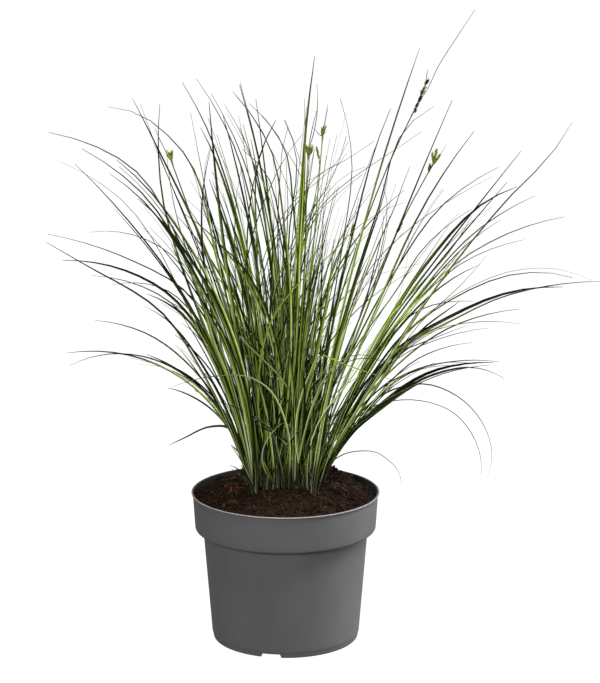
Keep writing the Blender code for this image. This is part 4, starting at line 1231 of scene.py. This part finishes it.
def pot_outline():
    """Gives the pot's section from the middle of its floor up the inside, over the rim and down."""
    inner_foot = BODY_FOOT_RADIUS - WALL - SLOPE
    return subdivided(rounded((
        (0.0, FLOOR_TOP, 0.0),
        (inner_foot, FLOOR_TOP, 1.0 * MM),
        (BODY_TOP_RADIUS - WALL, COLLAR_FOOT + WALL - SLOPE, 0.8 * MM),
        (COLLAR_FOOT_RADIUS - WALL, COLLAR_FOOT + WALL, 1.2 * MM),
        (COLLAR_TOP_RADIUS - WALL, RIM_TOP - SLOPE, 0.3 * MM),
        (COLLAR_TOP_RADIUS - WALL + SLOPE, RIM_TOP, 0.2 * MM),
        (RIM_RADIUS, RIM_TOP, 0.45 * MM),
        (RIM_RADIUS, RIM_TOP - RIM_THICK, 0.35 * MM),
        (COLLAR_TOP_RADIUS, RIM_TOP - RIM_THICK - SLOPE, 0.3 * MM),
        (COLLAR_FOOT_RADIUS, COLLAR_FOOT, 2.2 * MM),
        (BODY_TOP_RADIUS, BODY_TOP, 1.2 * MM),
        (BODY_FOOT_RADIUS, BODY_FOOT, 1.1 * MM),
        (BODY_FOOT_RADIUS - SLOPE, FOOT_STEP, 0.3 * MM),
        (FOOT_RADIUS + SLOPE, 2 * EDGE, 0.5 * MM),
        (FOOT_RADIUS, 0.0, 0.2 * MM),
        (FOOT_RADIUS - FOOT_WIDTH, 0.0, 0.3 * MM),
        (FOOT_RADIUS - FOOT_WIDTH - EDGE, BASE_UNDER, 0.3 * MM),
        (0.0, BASE_UNDER, 0.0),
    )), PROFILE_STEP)


def notch_edges():
    """Gives the bearings where a notch starts to rise and where it is at its full height, on both sides."""
    foot = math.asin(NOTCH_WIDTH / 2 / FOOT_RADIUS)
    top = math.asin(NOTCH_NARROWS * NOTCH_WIDTH / 2 / FOOT_RADIUS)
    return foot, top


def notch_height(bearings):
    """Gives how high the foot ring is cut away at each bearing: slanted sides and a level top."""
    foot, top = notch_edges()
    third = 2 * math.pi / NOTCH_COUNT
    off = np.abs((bearings - NOTCH_BEARING + third / 2) % third - third / 2)
    return NOTCH_HEIGHT * np.clip((foot - off) / (foot - top), 0.0, 1.0)


def pot_bearings():
    """Gives the bearings of the pot's grid: even ones, and close ones at the sides of the notches."""
    foot, top = notch_edges()
    third = 2 * math.pi / NOTCH_COUNT
    sides = [NOTCH_BEARING + i * third + side * off for i in range(NOTCH_COUNT) for side in (-1, 1)
             for off in (foot, (foot + top) / 2, top)]
    even = np.linspace(0.0, 2 * math.pi, POT_STEPS, endpoint=False)
    return np.unique(np.round(np.concatenate([even, np.array(sides) % (2 * math.pi)]), 7))


def plug_points(bearing):
    """Gives the points of the plug that cuts a drain hole: two level circles about its axis."""
    turn = np.linspace(0.0, 2 * math.pi, DRAIN_SIDES, endpoint=False)
    circle = np.column_stack([DRAIN_RING * math.cos(bearing) + DRAIN_RADIUS * np.cos(turn),
                              DRAIN_RING * math.sin(bearing) + DRAIN_RADIUS * np.sin(turn),
                              np.full(DRAIN_SIDES, FLOOR_TOP)])
    return np.stack([circle - (0.0, 0.0, PLUG_HALF), circle + (0.0, 0.0, PLUG_HALF)])


def cut_drains(pot):
    """Cuts the drain holes through the pot's base, evenly round it and clear of the notches."""
    plugs = Surface()
    for i in range(DRAIN_COUNT):
        bearing = NOTCH_BEARING + (i + 0.5) * 2 * math.pi / DRAIN_COUNT
        plugs.add(plug_points(bearing), tube_faces(2, DRAIN_SIDES))
    cutter = in_scene("drain_plugs", plugs.mesh("drain_plugs"))
    cut = pot.modifiers.new("drains", "BOOLEAN")
    cut.operation = "DIFFERENCE"
    cut.object = cutter
    bpy.context.view_layer.update()
    pot.data = bpy.data.meshes.new_from_object(pot.evaluated_get(bpy.context.evaluated_depsgraph_get()))
    pot.modifiers.clear()
    bpy.data.objects.remove(cutter, do_unlink=True)


def make_pot(finish):
    """Makes the pot: its section turned about the axis, the foot ring raised in the notches, and the
    drain holes cut through its base. Its points tell whether they are inside it or on the rim's outer
    rounding, where a highlight is painted."""
    outline = pot_outline()[-2:0:-1]
    bearings = pot_bearings()
    radius = outline[:, 0, None]
    height = outline[:, 1, None] + 0.0 * bearings
    cut = np.maximum(height, notch_height(bearings))
    raised = np.where(radius > FOOT_RADIUS - NOTCH_DEPTH / 2, cut, height)
    points = np.stack([radius * np.cos(bearings), radius * np.sin(bearings), raised], axis=-1)
    row = np.arange(len(outline))[:, None]
    top = np.argmax(outline[:, 1])
    # Rows of the rim's outer rounding, where a highlight is painted
    lip_highlight = (row <= top) & (row > top - ROUND_STEPS)
    skin = Surface()
    skin.add(points, tube_faces(len(outline), len(bearings)), inside=row > top, lip_highlight=lip_highlight)
    cut_drains(skin.made("nursery_pot", finish, "pot_plastic", "pot"))


def lumps(x, y, size, seed):
    """Gives smooth lumps from -1 to 1: a value drawn for each corner of a square grid, eased between."""
    drawn = np.random.default_rng(seed).uniform(-1.0, 1.0, (LUMP_GRID, LUMP_GRID))
    place = np.stack([x, y]) / size + LUMP_GRID / 2
    left, front = np.floor(place).astype(int) % LUMP_GRID
    right, back = (left + 1) % LUMP_GRID, (front + 1) % LUMP_GRID
    a, b = (place % 1.0) ** 2 * (3 - 2 * (place % 1.0))
    low = drawn[left, front] * (1 - a) + drawn[right, front] * a
    high = drawn[left, back] * (1 - a) + drawn[right, back] * a
    return low * (1 - b) + high * b


def peat_height(x, y):
    """Gives the height of the peat's top: the mound's own, one higher clod and three sizes of lumps, all of
    which fade out towards the pot's wall."""
    reach = np.hypot(x, y)
    reaches, heights = zip(*SOIL_TOP)
    mound = np.interp(reach, reaches, heights)
    fade = np.interp(reach, LUMP_FADE[0], LUMP_FADE[1])
    away = np.hypot(x - CLOD_PLACE[0], y - CLOD_PLACE[1])
    clod = CLOD_HEIGHT * np.exp(-(away / CLOD_SIZE) ** 2)
    return mound + clod + fade * sum(height * lumps(x, y, size, seed) for size, height, seed in LUMPS)


def make_peat(finish):
    """Makes the root ball: rows of points from the middle of its foot, up its side and in over its top."""
    turn = np.linspace(0.0, 2 * math.pi, SOIL_SPOKES, endpoint=False)
    rim, rim_height = SOIL_TOP[-1]
    side = subdivided(np.array([
        (PEAT_FOOT_SHARE * BODY_FOOT_RADIUS, FLOOR_TOP + GAP),
        (BODY_FOOT_RADIUS - WALL - SLOPE - SOIL_CLEAR - PEAT_FOOT_INSET, FLOOR_TOP + GAP),
        (BODY_TOP_RADIUS - WALL - 2 * SOIL_CLEAR, COLLAR_FOOT + WALL + GAP - 2 * EDGE),
        (COLLAR_FOOT_RADIUS - WALL - SOIL_CLEAR, COLLAR_FOOT + WALL + GAP),
        (rim, rim_height - PEAT_RIM_DROP),
    ]), PEAT_STEP)
    top = np.linspace(rim, PEAT_MIDDLE, SOIL_RINGS)
    radius = np.concatenate([side[:, 0], top])[:, None]
    x, y = radius * np.cos(turn), radius * np.sin(turn)
    z = peat_height(x, y)
    z[:len(side)] = side[:, 1, None]
    skin = Surface()
    skin.add(np.stack([x, y, z], axis=-1), tube_faces(len(radius), SOIL_SPOKES), tone=PEAT_TONE, fibre=0.0)
    skin.made("peat", finish, "peat", "soil")


def random_turns(dice, count):
    """Gives random rotations as matrices whose columns are three directions square to each other."""
    first = unit(dice.normal(size=(count, 3)))
    second = unit(np.cross(first, dice.normal(size=(count, 3))))
    return np.stack([first, second, np.cross(first, second)], axis=-1)


def add_fibre(skin, dice):
    """Adds one fibre that lies on the peat: a thin strip along a shallow bow, with its ends sunk in."""
    length = dice.uniform(*FIBRE_LENGTH)
    reach = (CRUMB_REACH - length) * math.sqrt(dice.uniform())
    bearing, heading = dice.uniform(0.0, 2 * math.pi, 2)
    t = np.linspace(-0.5, 0.5, FIBRE_STATIONS)
    hump = 1 - 4 * t ** 2
    bow = dice.uniform(-FIBRE_BOW, FIBRE_BOW) * length * hump
    x = reach * math.cos(bearing) + length * t * math.cos(heading) - bow * math.sin(heading)
    y = reach * math.sin(bearing) + length * t * math.sin(heading) + bow * math.cos(heading)
    z = np.interp(np.hypot(x, y), *zip(*SOIL_TOP)) + dice.uniform(*FIBRE_LIFT) * FIBRE_ARCH * hump
    course = np.column_stack([x, y, z])
    outward = np.array([math.sin(heading), -math.cos(heading), 0.0])
    across, up = course_frame(course, outward, dice.uniform(0.0, FIBRE_TURN))
    halves = dice.uniform(*FIBRE_HALF) * (1.0 + FIBRE_TIP - 2.0 * np.abs(t))
    sweep(skin, course, across, up, halves, FIBRE_SECTION, tone=dice.uniform(), fibre=1.0)


def crumb_ball():
    """Gives the points of a crumb before it is made rough: rows round a ball of radius one."""
    polar = np.linspace(*CRUMB_POLES, CRUMB_ROWS)[:, None] * math.pi
    turn = np.linspace(0.0, 2 * math.pi, CRUMB_SIDES, endpoint=False)
    flat = np.sin(polar)
    ball = np.stack([flat * np.cos(turn), flat * np.sin(turn), -np.cos(polar) + 0 * turn], axis=-1)
    return ball.reshape(-1, 3)


def make_crumbs(finish):
    """Makes the loose crumbs of peat: balls whose points are moved in and out at random, squeezed, turned
    at random and sunk a third into the top; and the fibres that lie between them."""
    dice = np.random.default_rng(CRUMB_SEED)
    reach = CRUMB_REACH * np.sqrt(dice.uniform(0.0, 1.0, CRUMBS))
    bearing = dice.uniform(0.0, 2 * math.pi, CRUMBS)
    x, y = reach * np.cos(bearing), reach * np.sin(bearing)
    size = np.clip(CRUMB_SIZE * np.exp(dice.normal(0.0, CRUMB_SPREAD, CRUMBS)), *CRUMB_SIZES)
    ball = crumb_ball()
    rough = 1.0 + dice.uniform(-CRUMB_ROUGH, CRUMB_ROUGH, (CRUMBS, len(ball), 1))
    squeeze = dice.uniform(*CRUMB_SQUEEZE, (CRUMBS, 1, 3))
    points = np.einsum("nij,nkj->nki", random_turns(dice, CRUMBS), ball * rough * squeeze)
    centre = np.stack([x, y, peat_height(x, y) + CRUMB_RISE * size], axis=-1)
    points = centre[:, None, :] + 0.5 * size[:, None, None] * points
    each = tube_faces(CRUMB_ROWS, CRUMB_SIDES)
    firsts = range(0, CRUMBS * len(ball), len(ball))
    faces = [[number + first for number in face] for first in firsts for face in each]
    skin = Surface()
    skin.add(points, faces, tone=dice.uniform(0.0, 1.0, CRUMBS)[:, None], fibre=0.0)
    for _ in range(FIBRES):
        add_fibre(skin, dice)
    skin.made("peat_crumbs", finish, "peat")


def add_spike(skin, foot, lean, length, width, ripeness, dice):
    """Adds one flower spike: beaked scales set about its axis a golden angle apart. Each is a leaf-shaped
    plate that starts by the axis and leans out so far that its beak reaches the spike's width."""
    lean = unit(np.array(lean))
    side = unit(np.cross(lean, SPIKE_ASIDE))
    other = np.cross(lean, side)
    low, high = SPIKE_SWELL
    count = int(SCALES_PER_MM * length / MM)
    t = np.linspace(0.0, 1.0, SCALE_STATIONS)
    for number in range(count):
        at = (number + 0.5) / count
        turn = number * GOLDEN_ANGLE
        out = math.cos(turn) * side + math.sin(turn) * other
        long = min(SCALE_LENGTH, 0.5 * length) * dice.uniform(*SCALE_LENGTHS)
        swell = math.sin(math.pi * (low + (high - low) * at))
        reach = (0.5 - SCALE_FOOT) * width * dice.uniform(*SCALE_REACHES) * swell
        splay = math.asin(min(SCALE_SPLAY[1], max(SCALE_SPLAY[0], reach / long)))
        ahead = math.cos(splay) * lean + math.sin(splay) * out
        start = foot + (at - 0.5) * (length - long) * lean - 0.5 * long * lean + SCALE_FOOT * width * out
        course = start + long * t[:, None] * ahead
        share = SCALE_BLUNT + np.sin(math.pi * t ** SCALE_BELLY)
        halves = 0.5 * SCALE_WIDTH * dice.uniform(*SCALE_WIDTHS) * share
        level = np.tile(np.cross(lean, out), (len(t), 1))
        up = np.tile(np.cross(level[0], ahead), (len(t), 1))
        tone = min(1.0, max(0.0, ripeness + dice.gauss(0.0, RIPENESS_VARY)))
        sweep(skin, course, level, up, halves, SCALE_SECTION, across=SCALE_SECTION[:, 0],
              along=t[:, None], tone=tone, scale=1.0)


def add_stalk(skin, course, outward, turn, radii, along, tone):
    """Adds a three-sided stalk along a course, turned about it."""
    across, up = course_frame(course, outward, turn)
    sweep(skin, course, across, up, radii, CULM_SECTION, across=CULM_SECTION[:, 0], along=along,
          tone=tone, scale=0.0)


def nearest(places, wanted):
    """Gives the number of the place that is nearest to the wanted one."""
    return int(np.argmin(np.linalg.norm(places - wanted, axis=1)))


def make_flower_stem(number, place, points, finish):
    """Makes one flower stem: a three-sided stalk that narrows upwards, its spikes, each with a thin stalk
    of its own, and its bracts."""
    _, tone, _, spikes, bracts = FLOWER_STEMS[place]
    dice = random.Random(f"stem {place}")
    bearing = crown_place(*place)[1]
    skin = Surface()
    course = fine_course(points)
    course = np.vstack([course[0] - CULM_SUNK * unit(course[1] - course[0]), course])
    t = np.linspace(0.0, 1.0, len(course))
    radii = CULM_RADIUS * np.linspace(*CULM_SHARES, len(course))
    add_stalk(skin, course, lean_of(course, bearing), CULM_TURN * t, radii, t[:, None], tone)
    close = filled_in(stations(points))
    depth = close[-1][1]
    for across, height, length, width, tilt, ripeness in spikes:
        middle = np.array(from_front(across * MM, height * MM, depth))
        swing = dice.uniform(-SPIKE_SWING, SPIKE_SWING)
        lean = np.array([math.sin(math.radians(tilt)), swing, math.cos(math.radians(tilt))])
        add_spike(skin, middle, lean, length * MM, width * MM, ripeness, dice)
        below = close[max(0, nearest(close, middle) - int(length * MM / CLEAR_STEP))]
        course = np.linspace(below, middle - STALKLET_END * length * MM * lean, STALKLET_STATIONS)
        radii = np.full(STALKLET_STATIONS, STALKLET_SHARE * CULM_RADIUS)
        add_stalk(skin, course, (0.0, 1.0, 0.0), 0.0, radii, 0.5, tone)
    for bract in bracts:
        seen = [np.array(from_front(across * MM, height * MM, depth)) for across, height in bract]
        start = close[nearest(close, seen[0])]
        middle = seen[1:-1] or [(start + seen[-1]) / 2]
        course = fine_course([start, *middle, seen[-1]])
        add_blade(skin, course, bearing, BRACT_WIDTH, dice, tone=0.0, scale=0.0)
    skin.made(f"flowers_{number}", finish, "stalk_green", f"flower_stem_{number}")


def floor_finish():
    """Studio floor: matt, dark to the light that falls on it, with a white glow of its own."""
    finish = Finish("studio_white", 1.0, 0.0)
    finish.shader.inputs["Base Color"].default_value = FLOOR_GREY
    finish.shader.inputs["Emission Color"].default_value = WHITE
    finish.shader.inputs["Emission Strength"].default_value = FLOOR_GLOW
    return finish.material


def make_floor():
    """Makes the floor: a wide level disc just under the pot's foot."""
    turn = np.linspace(0.0, 2 * math.pi, FLOOR_SIDES, endpoint=False)
    rim = np.column_stack([FLOOR_RADIUS * np.cos(turn), FLOOR_RADIUS * np.sin(turn), 0.0 * turn])
    mesh = bpy.data.meshes.new("floor")
    mesh.from_pydata(rim.tolist(), [], [list(range(FLOOR_SIDES))])
    mesh.materials.append(floor_finish())
    floor = in_scene("floor", mesh)
    floor.visible_diffuse = False
    floor.visible_glossy = False
    floor.location.z = -FLOOR_DROP
    floor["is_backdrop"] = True


def add_light(name, place, target, width, height, power):
    """Hangs a soft box of this size, turned towards its target."""
    light = bpy.data.lights.new(name, "AREA")
    light.shape = "RECTANGLE"
    light.size = width
    light.size_y = height
    light.energy = power
    lamp = in_scene(name, light)
    lamp.location = place
    lamp.rotation_euler = (Vector(target) - Vector(place)).to_track_quat("-Z", "Y").to_euler()


def set_world():
    """Makes the room: white where the camera sees it, and a dim dome, brighter above, that fills shade."""
    world = bpy.data.worlds.new("studio")
    bpy.context.scene.world = world
    world.use_nodes = True
    nodes = Nodes(world.node_tree)
    where = nodes.node("ShaderNodeTexCoord", out="Generated")
    rise = nodes.node("ShaderNodeSeparateXYZ", {}, where, out="Z")
    power = nodes.node("ShaderNodeMapRange", {}, rise, -1.0, 1.0, DOME_BELOW, DOME_ABOVE)
    dome = nodes.node("ShaderNodeBackground", Strength=power)
    white = nodes.node("ShaderNodeBackground", Color=WHITE)
    seen = nodes.node("ShaderNodeLightPath", out="Is Camera Ray")
    room = nodes.node("ShaderNodeMixShader", {}, seen, dome, white)
    nodes.tree.links.new(room.socket, nodes.tree.nodes["World Output"].inputs["Surface"])


def set_camera():
    """Places the camera where the photograph was taken from, with the photograph's lens."""
    camera = bpy.data.cameras.new("front")
    camera.lens = CAMERA_LENS
    camera.sensor_width = CAMERA_SENSOR
    camera.clip_end = 2 * FLOOR_RADIUS
    stand = in_scene("front", camera)
    stand.location = CAMERA_PLACE
    stand.rotation_euler = (math.pi / 2 - CAMERA_DOWN, 0.0, -CAMERA_RIGHT)
    bpy.context.scene.camera = stand


def set_studio():
    """Sets the floor, the soft boxes, the room and the camera."""
    make_floor()
    for box in SOFT_BOXES:
        add_light(*box)
    set_world()
    set_camera()
    bpy.context.scene.view_settings.view_transform = "Standard"


def make_clump():
    """Makes the leafy shoots and the flower stems, at the places that their solids have."""
    places = [(ring, slot) for ring, (_, count) in enumerate(RINGS) for slot in range(count)]
    roots = {place: root_above(*place) for place in places}
    headings = {place: shoot_heading(place, root) for place, root in roots.items()}
    crowd = Crowd()
    for place, root in roots.items():
        crowd.add(place, np.array([root, root + SHEATH_HEIGHT * headings[place]]))
    stalks = {}
    for place, (depth, _, seen, _, _) in FLOWER_STEMS.items():
        options = shown_options(roots[place] + CULM_LIFT, seen, depth * MM)
        stalks[place] = clearest(crowd.tree_without(place), options)
        crowd.add(place, stations(stalks[place]))
    shoots = plan_shoots(roots, headings, crowd)
    leaf = leaf_finish()
    stalk = stalk_finish()
    for number, (place, leaves) in enumerate(shoots.items(), start=1):
        make_leaves(number, place, roots[place], headings[place], leaves, leaf)
    for number, (place, points) in enumerate(stalks.items(), start=1):
        make_flower_stem(number, place, points, stalk)


make_pot(pot_finish())
peat = peat_finish()
make_peat(peat)
make_crumbs(peat)
make_clump()
set_studio()

boxes = {"cad": cad_box, "visual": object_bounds()}
{name: [list(corner) for corner in box] for name, box in boxes.items()}
